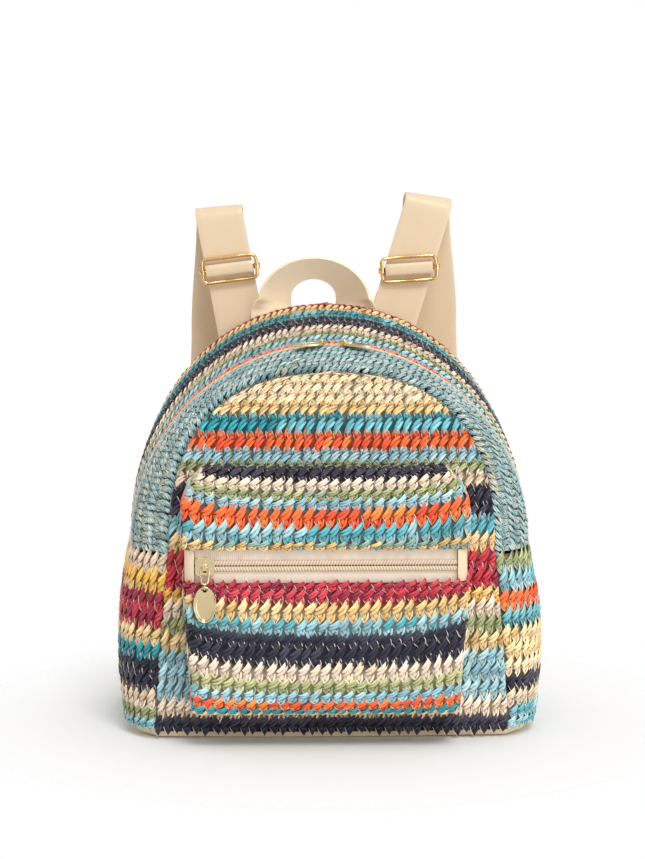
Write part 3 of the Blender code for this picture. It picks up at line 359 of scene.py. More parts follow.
def front_turn(y):
    """How far the body has turned in towards the front panel at depth y, from 0 to 1."""
    turned = np.cos(np.arcsin(np.clip((FRONT_START - y) / TURN_REACH, 0, 1)))
    return (1 - turned) / (1 - math.cos(FRONT_TURN))


def front_band_y(t):
    """Depth across the front gusset, from the zip (t 0) to the front panel (t 1)."""
    flat = ZIP_LAP / (ZIP_LAP + TURN_REACH * FRONT_TURN)
    curved = FRONT_START - TURN_REACH * np.sin(FRONT_TURN * np.clip((t - flat) / (1 - flat), 0, 1))
    return np.where(t < flat, ZIP_FRONT - ZIP_LAP * t / flat, curved)


def outline(y):
    """The arch's half width, its height and its roundness at depth y."""
    rise = np.clip((y - BACK_START) / (BACK_Y - BACK_START), 0, 1)
    turn = front_turn(y)
    belly = GUSSET_BELLY * np.sin(np.pi * rise)
    half = ZIP_RADIUS + (BACK_HALF_WIDTH - ZIP_RADIUS) * rise + belly - (ZIP_RADIUS - FRONT_HALF_WIDTH) * turn
    top = ZIP_RADIUS + (BACK_RISE - ZIP_RADIUS) * rise + belly - (ZIP_RADIUS - FRONT_RISE) * turn
    return half, top, 2 + (BACK_ROUNDNESS - 2) * rise + (FRONT_ROUNDNESS - 2) * turn


def arch(angle, y):
    """Points of the arch at depth y; angle runs from pi on the left to 0 on the right."""
    half, top, power = outline(y)
    c, s = np.cos(angle), np.sin(angle)
    x = np.sign(c) * np.abs(c) ** (2 / power) * half
    return np.stack([x, y + 0 * x, SPRING_Z + np.abs(s) ** (2 / power) * top], -1)


def side_x(z, y):
    """Half width of the straight sides at height z and depth y."""
    down = np.clip((SPRING_Z - z) / (SPRING_Z - BASE_HEIGHT), 0, 1)
    turn = front_turn(y)
    return (outline(y)[0] + SIDE_SWELL * np.sin(np.pi * down) * (1 - 0.8 * turn)
            + SIDE_FLARE * down + FRONT_FLARE * down * turn)


def rim_inset(drop):
    """How far inside the gusset's face the front panel ends, where the gusset turns in by drop."""
    inward = drop / (1 - math.cos(FRONT_TURN)) * math.sin(FRONT_TURN)
    forward = TURN_REACH * math.cos(FRONT_TURN)
    return FABRIC * forward / math.hypot(inward, forward) + 2 * GAP


def front_half(z):
    side = rim_inset(ZIP_RADIUS - FRONT_HALF_WIDTH)
    top = FRONT_RISE - rim_inset(ZIP_RADIUS - FRONT_RISE)
    share = np.clip((z - SPRING_Z) / top, 0, 1)
    dome = (FRONT_HALF_WIDTH - side) * (1 - share ** FRONT_ROUNDNESS) ** (1 / FRONT_ROUNDNESS)
    return np.where(z <= SPRING_Z, side_x(z, FRONT_Y) - side, dome)


def back_half(z):
    share = np.clip((z - SPRING_Z) / BACK_RISE, 0, 1)
    dome = BACK_HALF_WIDTH * (1 - share ** BACK_ROUNDNESS) ** (1 / BACK_ROUNDNESS)
    return np.where(z <= SPRING_Z, side_x(z, BACK_Y), dome)


def front_face_y(x, z):
    """Depth of the front panel's bellied face."""
    across = np.minimum(1.0, np.abs(x) / FRONT_HALF_WIDTH)
    middle = SPRING_Z * 0.85
    reach = np.where(z < middle, middle - BASE_HEIGHT, SPRING_Z + FRONT_RISE - middle)
    along = np.minimum(1.0, np.abs(z - middle) / reach)
    return FRONT_Y - FRONT_BELLY * (1 - across ** 2) * (1 - 0.55 * along ** 2)


def pocket_half(z):
    t = np.clip((z - POCKET_FOOT_Z) / (POCKET_ZIP_Z - POCKET_FOOT_Z), 0, 1)
    half = POCKET_FOOT_HALF + (POCKET_ZIP_HALF - POCKET_FOOT_HALF) * t * t * (3 - 2 * t)
    into = np.maximum(0.0, z - (POCKET_TOP_Z - POCKET_SHOULDER)) * 0.9
    return half - (POCKET_SHOULDER - np.sqrt(POCKET_SHOULDER ** 2 - into ** 2))


# Each course has a surface of its own: along it (a), up across it (b), and its half length

def centred_run(path):
    run = run_of(path)
    return run - run[-1] / 2


def front_course(low, high):
    def spot(a, b):
        half = front_half(b) - EDGE_MARGIN
        x = np.clip(a, -half, half)
        return np.stack([x, front_face_y(x, b), b], -1)
    return spot, max(front_half(np.array([low, (low + high) / 2])))


def back_course(low, high):
    def spot(a, b):
        half = back_half(b) - EDGE_MARGIN
        return np.stack([-np.clip(a, -half, half), BACK_FACE_Y - RIDGE + 0 * a, b], -1)
    return spot, max(back_half(np.array([low, (low + high) / 2])))


def side_course(side):
    """A side panel's courses run from the back to the front and lap over its front rim."""
    def course(low, high):
        ys = np.linspace(BACK_Y, FRONT_Y, 160)
        run = centred_run(np.stack([side_x((low + high) / 2, ys), ys], -1)) - RIM_LAP / 2

        def spot(a, b):
            y = np.interp(-side * a, run, ys)
            lap = np.maximum(-side * a - run[-1], 0)
            return np.stack([side * (side_x(b, y) - lap), y - LAP_SLOPE * lap, b], -1)
        return spot, run[-1] + RIM_LAP
    return course


def arch_course(depth):
    """Courses of a gusset; depth turns the place across it into a depth."""
    def course(low, high):
        angles = np.linspace(np.pi, 0, 400)
        run = centred_run(arch(angles, depth((low + high) / 2)))
        return (lambda a, b: arch(np.interp(a, run, angles), depth(b))), run[-1]
    return course


def pocket_course(way, start, edge):
    """Courses of the pocket, up (way 1) or down (way -1) from its zip at start and round the roll at edge."""
    def shape(b):
        run = way * b
        straight = abs(edge - way * POCKET_ROLL - start)
        arc = POCKET_ROLL * math.pi / 2
        turned = np.clip((run - straight) / POCKET_ROLL, 0, math.pi / 2)
        flat = np.maximum(run - straight - arc, 0)
        z = start + way * (np.minimum(run, straight) + POCKET_ROLL * np.sin(turned))
        y = POCKET_Y + POCKET_ROLL * (1 - np.cos(turned)) + flat
        half = pocket_half(z) - flat
        rear = front_face_y(POCKET_X + half, z) - RIDGE - GAP
        radius = np.minimum(POCKET_CORNER, (rear - y) * 0.6)
        return z, y, half, rear, radius

    def course(low, high):
        def spot(a, b):
            z, y, half, rear, radius = shape(b)
            face, s = half - radius, np.abs(a)
            turn = np.clip((s - face) / radius, 0, math.pi / 2)
            back = np.maximum(s - face - radius * math.pi / 2, 0)
            x = np.sign(a) * (np.minimum(s, face) + radius * np.sin(turn))
            depth = np.minimum(y + radius * (1 - np.cos(turn)) + back, rear)
            return np.stack([POCKET_X + x, depth, z], -1)
        z, y, half, rear, radius = shape((low + high) / 2)
        return spot, half - radius + radius * math.pi / 2 + rear - y - radius
    return course


def laid(spot, flat):
    """Places flat points (along, across, out) on a surface."""
    step = 2e-5
    a, b, out = flat[:, 0], flat[:, 1], flat[:, 2]
    base = spot(a, b)
    normal = np.cross(spot(a + step, b) - spot(a - step, b), spot(a, b + step) - spot(a, b - step))
    size = np.linalg.norm(normal, axis=1, keepdims=True)
    bad = size[:, 0] < 1e-14
    normal /= np.maximum(size, 1e-14)
    if bad.any():
        normal[bad] = normal[~bad].mean(0) if (~bad).any() else (0, -1, 0)
    return base + normal * out[:, None]


# One stitch, in shares of its pitch and its course's height, with heights in millimetres

STITCH_REACH, STITCH_ROOM = 0.0085, 0.0078            # the height of its course as drawn, and as it fills it
STITCH_HEIGHT, PAINTED_FOOT_SHADE, PAINTED_SHADE_RISE = 0.0017, 0.84, 0.48   # painted shade: a stitch is darker low down than at its full height
GROUND_SWELL = 0.0006


def stitch(name, sides, edged):
    """A leaning leaf of two ribbons, and under it a loop round a small tongue; edged adds an edge strand
    painted as a highlight. Returns the stitch with the tone of each of its points, which is painted light
    and shade, and the lot of each of its points."""
    def strand(label, tone, points, sizes, sides=sides, mat=RIBBON):
        path = np.array(points) * (PITCH, STITCH_REACH, 0.001)
        obj = rolled(label, path, np.array(sizes) * 0.001, sides, mat)
        for key, value in (("tone", tone), ("lot", float(label in ("tongue", "loop")))):
            layer = obj.data.attributes.new(key, "FLOAT", "POINT")
            layer.data.foreach_set("value", np.full(len(obj.data.vertices), value))
        return obj

    # Strand tones are painted light: loop, leaf top and edge strand lighter, tongue and leaf foot in shade
    parts = [
        strand("leaf_top", 1.14,
               [(-0.6, 0, 0.3), (-0.3, 0.13, 1.3), (0.04, 0.32, 1.6), (0.32, 0.54, 1.2), (0.5, 0.72, 0.4)],
               [(0.5, 0.25), (0.85, 0.45), (1, 0.5), (0.8, 0.4), (0.3, 0.2)]),
        strand("leaf_foot", 0.92,
               [(-0.64, -0.2, 0.2), (-0.3, -0.1, 1.2), (0.06, 0.08, 1.6), (0.36, 0.32, 1.3), (0.52, 0.6, 0.4)],
               [(0.5, 0.25), (0.95, 0.45), (1.1, 0.5), (0.85, 0.45), (0.3, 0.2)]),
        strand("tongue", 0.80, [(-0.1, -0.06, 0.8), (-0.04, -0.28, 1.3), (0.02, -0.5, 0.5)],
               [(1.3, 0.3), (1.5, 0.4), (0.6, 0.2)]),
        strand("loop", 1.10,
               [(-0.42, -0.14, 0.5), (-0.26, -0.36, 1.3), (0, -0.6, 1.1), (0.22, -0.36, 1.5), (0.3, -0.02, 0.9)],
               [(0.45, 0.25), (0.62, 0.35), (0.66, 0.3), (0.7, 0.35), (0.5, 0.25)], 4),
        strand("thread", 1.0, [(-0.52, -0.16, 0.7), (-0.34, -0.42, 1.5), (-0.04, -0.7, 0.9)],
               [(0.16, 0.16), (0.25, 0.22), (0.2, 0.16)], 3, THREAD_MAT),
        strand("tick", 1.0, [(0.54, 0.48, 1), (0.46, 0.74, 1.7), (0.28, 0.96, 0.9)],
               [(0.18, 0.14), (0.27, 0.2), (0.16, 0.14)], 3, THREAD_MAT),
    ]
    if edged:
        parts.append(strand("lit_edge", 1.34,
                            [(-0.4, 0.16, 1.3), (-0.1, 0.34, 1.8), (0.22, 0.58, 1.5), (0.46, 0.8, 0.6)],
                            [(0.2, 0.2), (0.34, 0.3), (0.34, 0.3), (0.2, 0.2)], 3))
    obj = join(name, parts)
    tones, lots = np.empty((2, len(obj.data.vertices)))
    obj.data.attributes["tone"].data.foreach_get("value", tones)
    obj.data.attributes["lot"].data.foreach_get("value", lots)
    # Painted shade: each point is darkened the lower it lies
    return obj, tones * (PAINTED_FOOT_SHADE + PAINTED_SHADE_RISE * np.clip(coords(obj)[:, 2] / STITCH_HEIGHT, 0, 1)), lots


# How far the copies of the stitch differ: size and lean in shares, places in metres, tone in shares
SIZE_SPREAD, LEAN_SPREAD, ALONG_SPREAD, ACROSS_SPREAD, TONE_SPREAD = 0.07, 0.08, 0.00028, 0.00025, 0.15
LEAF_RUN, LOOP_RUN = 6, 3          # stitches worked with one lot of straw
FULL_STITCH = stitch("full_stitch", 5, True)
PLAIN_STITCH = stitch("plain_stitch", 4, False)


def level_course(a, b):
    return b


def course_of_stitches(name, spot, half, low, high, dye, upright, lift=0.0, shift=0.0, want=PITCH,
                       bend=level_course, kind=FULL_STITCH):
    """Copies the stitch along one course and presses the row onto its surface; bend moves it off the level."""
    count = max(2, round(2 * half / want))
    pitch = 2 * half / count
    one, tone, lot = kind
    pick(one)
    bpy.ops.object.duplicate()
    row = bpy.context.object
    row.name = row.data.name = name
    each = len(tone)
    apply(row, "ARRAY", count=count, use_relative_offset=False, use_constant_offset=True,
          constant_offset_displace=(PITCH, 0, 0))
    places = np.arange(count)[:, None]
    flat = coords(row).reshape(count, each, 3)
    flat[:, :, 0] = (flat[:, :, 0] - places * PITCH) * pitch / PITCH
    flat[:, :, 1] *= (high - low) / STITCH_ROOM
    flat[:, :, 2] *= min(1.0, want / PITCH)
    flat *= 1 + rng.normal(0, SIZE_SPREAD, (count, 1, 3))
    lean = rng.normal(0, LEAN_SPREAD, (count, 1))
    flat[:, :, 0], flat[:, :, 1] = (flat[:, :, 0] - lean * flat[:, :, 1], flat[:, :, 1] + lean * flat[:, :, 0])
    if not upright:
        flat[:, :, :2] *= -1
    flat[:, :, 0] += (places + 0.5 + shift) * pitch - half + rng.normal(0, ALONG_SPREAD, (count, 1))
    flat[:, :, 1] += (low + high) / 2 + rng.normal(0, ACROSS_SPREAD, (count, 1))
    flat[:, :, 2] += lift
    flat = flat.reshape(-1, 3)
    flat[:, 0] = np.clip(flat[:, 0], -half, half)
    flat[:, 1] = bend(flat[:, 0], flat[:, 1])
    set_coords(row, laid(spot, flat))
    # The stitch's painted light and shade, varied at random strand by strand
    tones = tone[None] * (1 + rng.normal(0, TONE_SPREAD, (count, each // 6 + 1)).repeat(6, 1)[:, :each])
    leaf, loop = dye_along(dye, count, LEAF_RUN)[:, None], dye_along(dye, count, LOOP_RUN)[:, None]
    set_dye(row, ((leaf + (loop - leaf) * lot[None, :, None]) * tones[:, :, None]).reshape(-1, 3))
    return row


def ground_sheet(name, course, rows, columns, bend, rim=None):
    """The cloth behind the stitches, with a low swell under every course; rim dyes its edge.
    Its dye is its courses' dye darkened, as painted shade in the gaps between the stitches.
    """
    lines = []
    for low, high, dye, _ in rows:
        lines += [(low, 0.0, dye), ((low + high) / 2, GROUND_SWELL, dye)]
    lines.append((rows[-1][1], 0.0, rows[-1][2]))
    obj = flat_grid(name, columns, len(lines) - 1)
    points = []
    colours = np.empty((len(lines), columns + 1, 3))
    for row, (b, lift, dye) in zip(colours, lines):
        spot, half = course(b, b)
        a = np.linspace(-half, half, columns + 1)
        points.append(laid(spot, np.stack([a, bend(a, np.full(len(a), b)), np.full(len(a), lift)], -1)))
        row[:] = linear(DYES[dye][0][0])
    if rim:
        colours[:, [0, -1]] = colours[-1] = linear(DYES[rim][0][0])
    set_coords(obj, points)
    # Painted shade: the ground takes its courses' dye, darkened
    set_dye(obj, colours.reshape(-1, 3) * PAINTED_GAP_SHADE)
    obj.data.materials.append(PAINTED_SHADE_GROUND)
    apply(obj, "SOLIDIFY", thickness=FABRIC, offset=-1.0, use_even_offset=False)
    bpy.ops.object.shade_smooth()
    return obj


def straw_panel(name, course, rows, columns, node, want=PITCH, bend=level_course, kind=FULL_STITCH, lift=0.0,
                rim=None):
    """A panel's ground with every course of stitches on it; lift raises the stitches off it."""
    parts = [ground_sheet(name + "_ground", course, rows, columns, bend, rim)]
    for i, (low, high, dye, upright) in enumerate(rows):
        parts.append(course_of_stitches(f"{name}_{i}", *course(low, high), low, high, dye, upright, lift,
                                        0.25 * (i % 2), want, bend, kind))
    piece = join(name, parts)
    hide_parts(node)
    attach(piece, "bag")


def rows_from(edges, dyes, upright=lambda i: True):
    """Courses between edges given in millimetres from the top down, listed from the bottom up."""
    return [(edges[i + 1] / 1000, edges[i] / 1000, dye, upright(i)) for i, dye in enumerate(dyes)][::-1]


FRONT_EDGES = [207.9, 203.4, 197.6, 191.6, 185.2, 175.2, 165.7, 158.5, 152.5, 144.9, 136.2, 127.5, 117.9,
               106.9, 96.1, 85.9, 79.1, 69.5, 60.4, 50.7, 42.1, 32.8, 23.0, 13.2, 4.4]
FRONT_DYES = ("pale_straw pale_straw pale_straw straw teal orange light_blue green cream navy navy blue "
              "straw red red yellow cream green straw light_blue light_blue light_blue cream navy").split()
TURNED_COURSES = 12    # the front's upper courses are worked the other way round
straw_panel("front_weave", front_course, rows_from(FRONT_EDGES, FRONT_DYES, lambda i: i >= TURNED_COURSES), 48,
            "front_panel", FRONT_PITCH, rim="mottled_blue")
BACK_EDGES = [233.6, 225.5, 217.0] + FRONT_EDGES
BACK_DYES = "straw straw pale_straw".split() + FRONT_DYES
straw_panel("back_weave", back_course, rows_from(BACK_EDGES, BACK_DYES), 24, "back_panel", BACK_PITCH,
            kind=PLAIN_STITCH)

LEFT_DYES = "cream yellow red red straw teal navy navy cream green blue".split()
RIGHT_DYES = "green blue orange teal straw straw pale_straw navy cream blue blue".split()
SIDE_EDGES = [104.3, 95.2, 83.6, 73.8, 63.2, 54.2, 45.2, 36.4, 27.2, 18.2, 11.0, 6.2]
for label, side, dyes in (("left", -1, LEFT_DYES), ("right", 1, RIGHT_DYES)):
    straw_panel(f"side_weave_{label}", side_course(side), rows_from(SIDE_EDGES, dyes), 24,
                f"side_panel_{label}", FRONT_PITCH)

GUSSET_EDGES = [54.0, 51.4, 40.5, 29.5, 23.0, 16.4, 8.4, 3.2, -3.8, -9.8]
GUSSET_DYES = "maroon straw teal navy navy cream green light_blue coral".split()
straw_panel("rear_gusset_weave", arch_course(lambda b: b), rows_from(GUSSET_EDGES, GUSSET_DYES), 96,
            "rear_gusset", GUSSET_PITCH, kind=PLAIN_STITCH)
BAND_LENGTH, BAND_COURSES = 38.5, 8
BAND_EDGES = [-i / BAND_COURSES * BAND_LENGTH for i in range(BAND_COURSES + 1)]
straw_panel("front_gusset_weave", arch_course(lambda b: front_band_y(-b / BAND_LENGTH * 1000)),
            rows_from(BAND_EDGES, ["mottled_blue"] * BAND_COURSES, lambda i: i % 2 == 0), 96, "front_gusset",
            BAND_PITCH, kind=PLAIN_STITCH)


def drawn_up(left, right, edges):
    """The pocket's courses climb towards its ends, by up to left and right, but not at a panel's own edges."""
    run = (max(edges) - min(edges)) / 1000

    def bend(a, b):
        share = np.clip(np.abs(b) / run, 0, 1) ** 0.7
        near = np.exp(-(POCKET_ZIP_HALF - np.minimum(np.abs(a), POCKET_ZIP_HALF)) / CLIMB_REACH)
        return b + np.where(a < 0, left, right) * near * np.sin(np.pi * share)
    return bend


CLIMB_REACH = 0.020
ZIP_TOP, ZIP_FOOT = POCKET_ZIP_Z + POCKET_ZIP_OPENING / 2, POCKET_ZIP_Z - POCKET_ZIP_OPENING / 2
UPPER_EDGES = [60, 52.4, 45.0, 37.6, 32.5, 27.45, 21.95, 12.55, 3.75, 0]
UPPER_DYES = "navy navy navy cream green light_blue orange blue beads".split()
straw_panel("pocket_upper_weave", pocket_course(1, ZIP_TOP, POCKET_TOP_Z),
            rows_from(UPPER_EDGES, UPPER_DYES), 72, "pocket_upper", bend=drawn_up(0.006, 0.008, UPPER_EDGES))
LOWER_EDGES = [0, -5, -11.8, -21.5, -29.5, -37, -46.4, -55.2, -61.7, -67, -71.5, -76, -84, -94.5]
LOWER_DYES = "red red gold_straw blue navy navy cream green light_blue orange teal straw navy".split()
straw_panel("pocket_lower_weave", pocket_course(-1, ZIP_FOOT, POCKET_FOOT_Z),
            rows_from(LOWER_EDGES, LOWER_DYES), 72, "pocket_lower",
            bend=drawn_up(0.0085, 0.0085, LOWER_EDGES), lift=-0.0006)


# Webbing: the same centre lines as the frame's straps, smoothed

RING_WIRE, RING_INNER_HEIGHT, RING_Z = 0.0011, 0.0052, 0.2105
STRAP_TOP_TURN, STRAP_TAIL = 0.0065, 0.026
STRAP_Y = BACK_FACE_Y + GAP + WEB / 2
LEG_Y = STRAP_Y + WEB + GAP
STRAP_TOP_Y, REAR_LEG_Y = LEG_Y + 0.0086, LEG_Y + 0.0266
STRAP_FOOT_X, STRAP_FOOT_Z = 0.084, 0.020
TURN = RING_WIRE + GAP + WEB / 2
ADJUSTER_BAR, ADJUSTER_Z, TAB_LENGTH = 0.0010, 0.2560, 0.020
STRAPS = {
    "left": {"side": -1, "ring_x": -0.0485, "top": (-0.0630, 0.2925), "rear_x": -0.0665, "tilt": 7},
    "right": {"side": 1, "ring_x": 0.0352, "top": (0.0605, 0.2990), "rear_x": 0.0655, "tilt": 4},
}
HANDLE_X, HANDLE_HALF_SPAN, HANDLE_FORWARD = -0.0072, 0.0235, 0.0042
HANDLE_FOOT_Z, HANDLE_SPRING_Z, HANDLE_RISE = 0.213, 0.2365, 0.0205
HANDLE_SIDE_TWIST, HANDLE_TOP_TWIST = math.radians(44), math.radians(60)
LEVEL, REAR, UP = np.eye(3)


def smooth(t):
    t = min(1.0, max(0.0, t))
    return t * t * (3 - 2 * t)


def refined(points, step):
    """A smooth curve through points, with no bulge where near and far points meet."""
    p = np.asarray(points, float)
    p = np.vstack([2 * p[0] - p[1], p, 2 * p[-1] - p[-2]])
    gaps = np.sqrt(np.linalg.norm(np.diff(p[:, :3], axis=0), axis=1))
    out = []
    for i in range(1, len(p) - 2):
        a, b, c = gaps[i - 1], gaps[i], gaps[i + 1]
        near = b * ((p[i] - p[i - 1]) / a - (p[i + 1] - p[i - 1]) / (a + b) + (p[i + 1] - p[i]) / b)
        far = b * ((p[i + 1] - p[i]) / b - (p[i + 2] - p[i]) / (b + c) + (p[i + 2] - p[i + 1]) / c)
        count = max(2, math.ceil(np.linalg.norm((p[i + 1] - p[i])[:3]) / step))
        t = (np.arange(count) / count)[:, None]
        out.append(p[i] * (1 - 3 * t * t + 2 * t ** 3) + near * (t - 2 * t * t + t ** 3)
                   + p[i + 1] * (3 * t * t - 2 * t ** 3) + far * (t ** 3 - t * t))
    return np.vstack(out + [p[-2]])


def unit(v):
    return v / np.linalg.norm(v)


def set_uv(obj, along, across):
    """UVs of a grid, in metres."""
    uv = np.stack(np.broadcast_arrays(along, across), -1).reshape(-1, 2)
    index = np.empty(len(obj.data.loops), int)
    obj.data.loops.foreach_get("vertex_index", index)
    obj.data.uv_layers.active.data.foreach_set("uv", uv[index].ravel())


def ribbon(name, path, guides, mat, step, across, crumple):
    """Flat webbing along a path, with its width along the guides; returns the piece and its length."""
    line = refined(np.hstack([path, guides]), step)
    centre, guide = line[:, :3], line[:, 3:]
    ahead = directions(centre)
    wide = guide - ahead * (guide * ahead).sum(1)[:, None]
    wide /= np.linalg.norm(wide, axis=1, keepdims=True)
    out = np.cross(wide, ahead)
    run = run_of(centre)
    place = np.linspace(-0.5, 0.5, across + 1)
    obj = flat_grid(name, across, len(centre) - 1)
    waves = np.sin(run * 61 + 1)[:, None] * np.cos(place * 5) + np.sin(run * 137)[:, None] * place
    points = (centre[:, None] + wide[:, None] * (place * WEB_WIDTH)[None, :, None]
              + out[:, None] * (crumple * waves)[:, :, None])
    set_coords(obj, points)
    set_uv(obj, run[:, None], place * WEB_WIDTH)
    apply(obj, "SOLIDIFY", thickness=WEB, offset=0.0, use_even_offset=True)
    apply(obj, "BEVEL", width=0.0003, segments=2, limit_method="ANGLE", angle_limit=math.radians(60))
    bpy.ops.object.shade_smooth()
    obj.data.materials.append(mat)
    return obj, float(run[-1])


def leg_axes(strap):
    """Across, behind and up along a strap where it leaves its ring."""
    x, z = strap["top"]
    climb = z - STRAP_TOP_TURN - RING_Z
    above = climb - RING_INNER_HEIGHT / 2 - RING_WIRE
    up = unit(np.array([(x - strap["ring_x"]) / climb, (STRAP_TOP_Y - LEG_Y) / above, 1]))
    across = unit(np.array([up[2], 0, -up[0]]))
    return across, np.cross(up, across), up


def ring_bar(strap, way):
    """The middle of a ring's upper bar (way 1) or lower bar (way -1)."""
    up = leg_axes(strap)[2] * (1, 0, 1)
    return (strap["ring_x"], LEG_Y + TURN, RING_Z) + unit(up) * way * (RING_INNER_HEIGHT / 2 + RING_WIRE)


def half_turn(bar, back, up):
    """The webbing's way round a bar, from behind it to the front, on the side away from up."""
    return [bar + TURN * (back * math.cos(a) - up * math.sin(a)) for a in np.radians(range(0, 181, 30))]


def strap_path(strap):
    """A strap from its tail behind the ring, round the ring's bar, up over the top and down to its foot."""
    across, back, up = leg_axes(strap)
    bar = ring_bar(strap, 1)
    path = [bar + up * STRAP_TAIL * share + back * TURN for share in (1, 0.5)] + half_turn(bar, back, up)
    top = np.array([strap["top"][0], STRAP_TOP_Y, strap["top"][1] - STRAP_TOP_TURN])
    path += [path[-1] + (top - path[-1]) * share for share in (0.25, 0.5, 0.75, 1.0)]
    guides = [across] * len(path)
    for share in np.arange(1, 7) / 6:
        a = math.pi * share
        climb = unit(up + (UP - up) * share)
        path.append(top + STRAP_TOP_TURN * (REAR * (1 - math.cos(a)) + climb * math.sin(a)))
        guides.append(across + (LEVEL - across) * share)
    start = path[-1]
    foot = (strap["side"] * STRAP_FOOT_X, LEG_Y, STRAP_FOOT_Z)
    for t in np.arange(1, 19) / 18:
        x = start[0] + (strap["rear_x"] - start[0]) * smooth(t / 0.25)
        x += (foot[0] - strap["rear_x"]) * smooth((t - 0.25) / 0.75)
        y = start[1] + (REAR_LEG_Y - start[1]) * smooth(t / 0.3)
        y += (foot[1] - REAR_LEG_Y) * smooth((t - 0.35) / 0.5)
        path.append(np.array([x, y, start[2] + (foot[2] - start[2]) * t]))
        guides.append(LEVEL)
    return path, guides


def handle_path():
    """The handle from its left foot over the arch to its right foot, twisting as it climbs."""
    def spot(x, z, twist):
        lean = HANDLE_FORWARD * min(1.0, twist / HANDLE_SIDE_TWIST)
        return np.array([HANDLE_X + x, STRAP_Y + WEB_WIDTH / 2 * math.sin(twist) - lean, z])

    def leg(side):
        for share in (0.0, 0.35, 0.6, 0.8):
            twist = HANDLE_SIDE_TWIST * smooth((share - 0.55) / 0.45)
            height = HANDLE_FOOT_Z + (HANDLE_SPRING_Z - HANDLE_FOOT_Z) * share
            yield (spot(side * HANDLE_HALF_SPAN, height, twist),
                   LEVEL * side * math.cos(twist) - REAR * math.sin(twist))

    def over():
        for a in np.pi * (1 - np.arange(13) / 12):
            twist = HANDLE_SIDE_TWIST + (HANDLE_TOP_TWIST - HANDLE_SIDE_TWIST) * math.sin(a)
            out = LEVEL * math.cos(a) + UP * math.sin(a)
            yield (spot(HANDLE_HALF_SPAN * out[0], HANDLE_SPRING_Z + HANDLE_RISE * out[2], HANDLE_SIDE_TWIST),
                   out * math.cos(twist) - REAR * math.sin(twist))

    return zip(*leg(-1), *over(), *list(leg(1))[::-1])


def webbing_piece(name, path, guides, node, held, body, rests, mat=WEBBING, step=0.0016, across=8,
                  crumple=0.00012):
    obj, length = ribbon(name, path, guides, mat, step, across, crumple)
    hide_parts(node)
    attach(obj, body)


webbing_piece("grab_handle", *handle_path(), "handle", "folded", "bag", "back_panel", HANDLE_WEBBING_PAINTED_LIGHTER,
              0.0012, 10, 0.0)
for label, strap in STRAPS.items():
    across, back, up = leg_axes(strap)
    webbing_piece(f"strap_{label}_webbing", *strap_path(strap), f"strap_{label}", "hung", "bag",
                  f"strap_ring_{label}")
    bar, flat_up = ring_bar(strap, -1), unit(up * (1, 0, 1))
    path = [bar - flat_up * TAB_LENGTH * share - REAR * TURN for share in (1, 0.5)]
    path += half_turn(bar, -REAR, -flat_up)
    path += [bar - flat_up * TAB_LENGTH * share + REAR * TURN * out for share, out in ((0.4, 0.9), (0.85, 0.6))]
    webbing_piece(f"ring_tab_{label}", path, [across] * len(path), f"strap_ring_tab_{label}", "folded", "bag",
                  "back_panel")
    # The strap's end is sewn round the adjuster's bar, in front of the strap
    radius = ADJUSTER_BAR + GAP + WEB / 2
    bar = ring_bar(strap, 1)
    bar = bar - back * (TURN + WEB + GAP + radius) + up * (ADJUSTER_Z - bar[2]) / up[2]
    tilt = math.radians(strap["tilt"])
    tilted = np.array([math.cos(tilt), 0, math.sin(tilt)])
    depth = unit(back - tilted * tilted.dot(back))
    climb = np.cross(tilted, depth)
    path = [bar + radius * (climb * (1 + 1.4 * max(0.0, math.sin(a))) * math.cos(a) - depth * math.sin(a))
            for a in np.radians(range(-60, 241, 20))]
    webbing_piece(f"adjuster_loop_{label}", path, [tilted] * len(path), f"strap_end_{label}", "folded",
                  f"adjuster_{label}", f"adjuster_bar_{label}", step=0.0006, crumple=0.0)


# Gold fittings: rounder copies of the frame's own

def refined_copy(name, node, body, slot, mat, levels=0, grow=0.0, bevel=0.0):
    """A copy of a frame node with rounded form, standing in its place."""
    obj = bpy.data.objects[node].copy()
    obj.data = obj.data.copy()
    obj.name = obj.data.name = name
    bpy.context.collection.objects.link(obj)
    for key in list(obj.keys()):
        if key.startswith("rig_"):
            del obj[key]
    obj.parent = None
    obj.hide_render = obj.hide_viewport = False
    edit(obj, ("remove_doubles", {"threshold": 2e-6}), OUTWARD)
    if bevel:
        apply(obj, "BEVEL", width=bevel, segments=3, limit_method="ANGLE", angle_limit=math.radians(35))
    if levels:
        apply(obj, "SUBSURF", levels=levels, render_levels=levels)
    if grow:
        apply(obj, "DISPLACE", strength=grow, mid_level=0.0)
    pick(obj)
    if bevel:
        bpy.ops.object.shade_smooth_by_angle(angle=math.radians(30))
    else:
        bpy.ops.object.shade_smooth()
    obj.data.materials.clear()
    obj.data.materials.append(mat)
    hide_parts(node)
    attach(obj, body)
    return obj


def rimmed(tag):
    """Sinks both faces of a tag a little, so that its rim stands up, and rounds the rim."""
    edit(tag, ("remove_doubles", {"threshold": 0.00003}),
         ("dissolve_limited", {"angle_limit": math.radians(2)}), ("select_mode", {"type": "FACE"}))
    axis = max(tag.data.polygons, key=lambda face: face.area).normal.copy()
    for face in tag.data.polygons:
        face.select = abs(face.normal.dot(axis)) > 0.98
    bpy.ops.object.mode_set(mode="EDIT")
    bpy.ops.mesh.inset(thickness=0.0007, depth=0.0, use_even_offset=False)
    bpy.ops.mesh.inset(thickness=0.0002, depth=-0.00014, use_even_offset=False)
    bpy.ops.object.mode_set(mode="OBJECT")
    apply(tag, "BEVEL", width=0.00012, segments=2, limit_method="ANGLE", angle_limit=math.radians(30))
    pick(tag)
    bpy.ops.object.shade_smooth_by_angle(angle=math.radians(40))


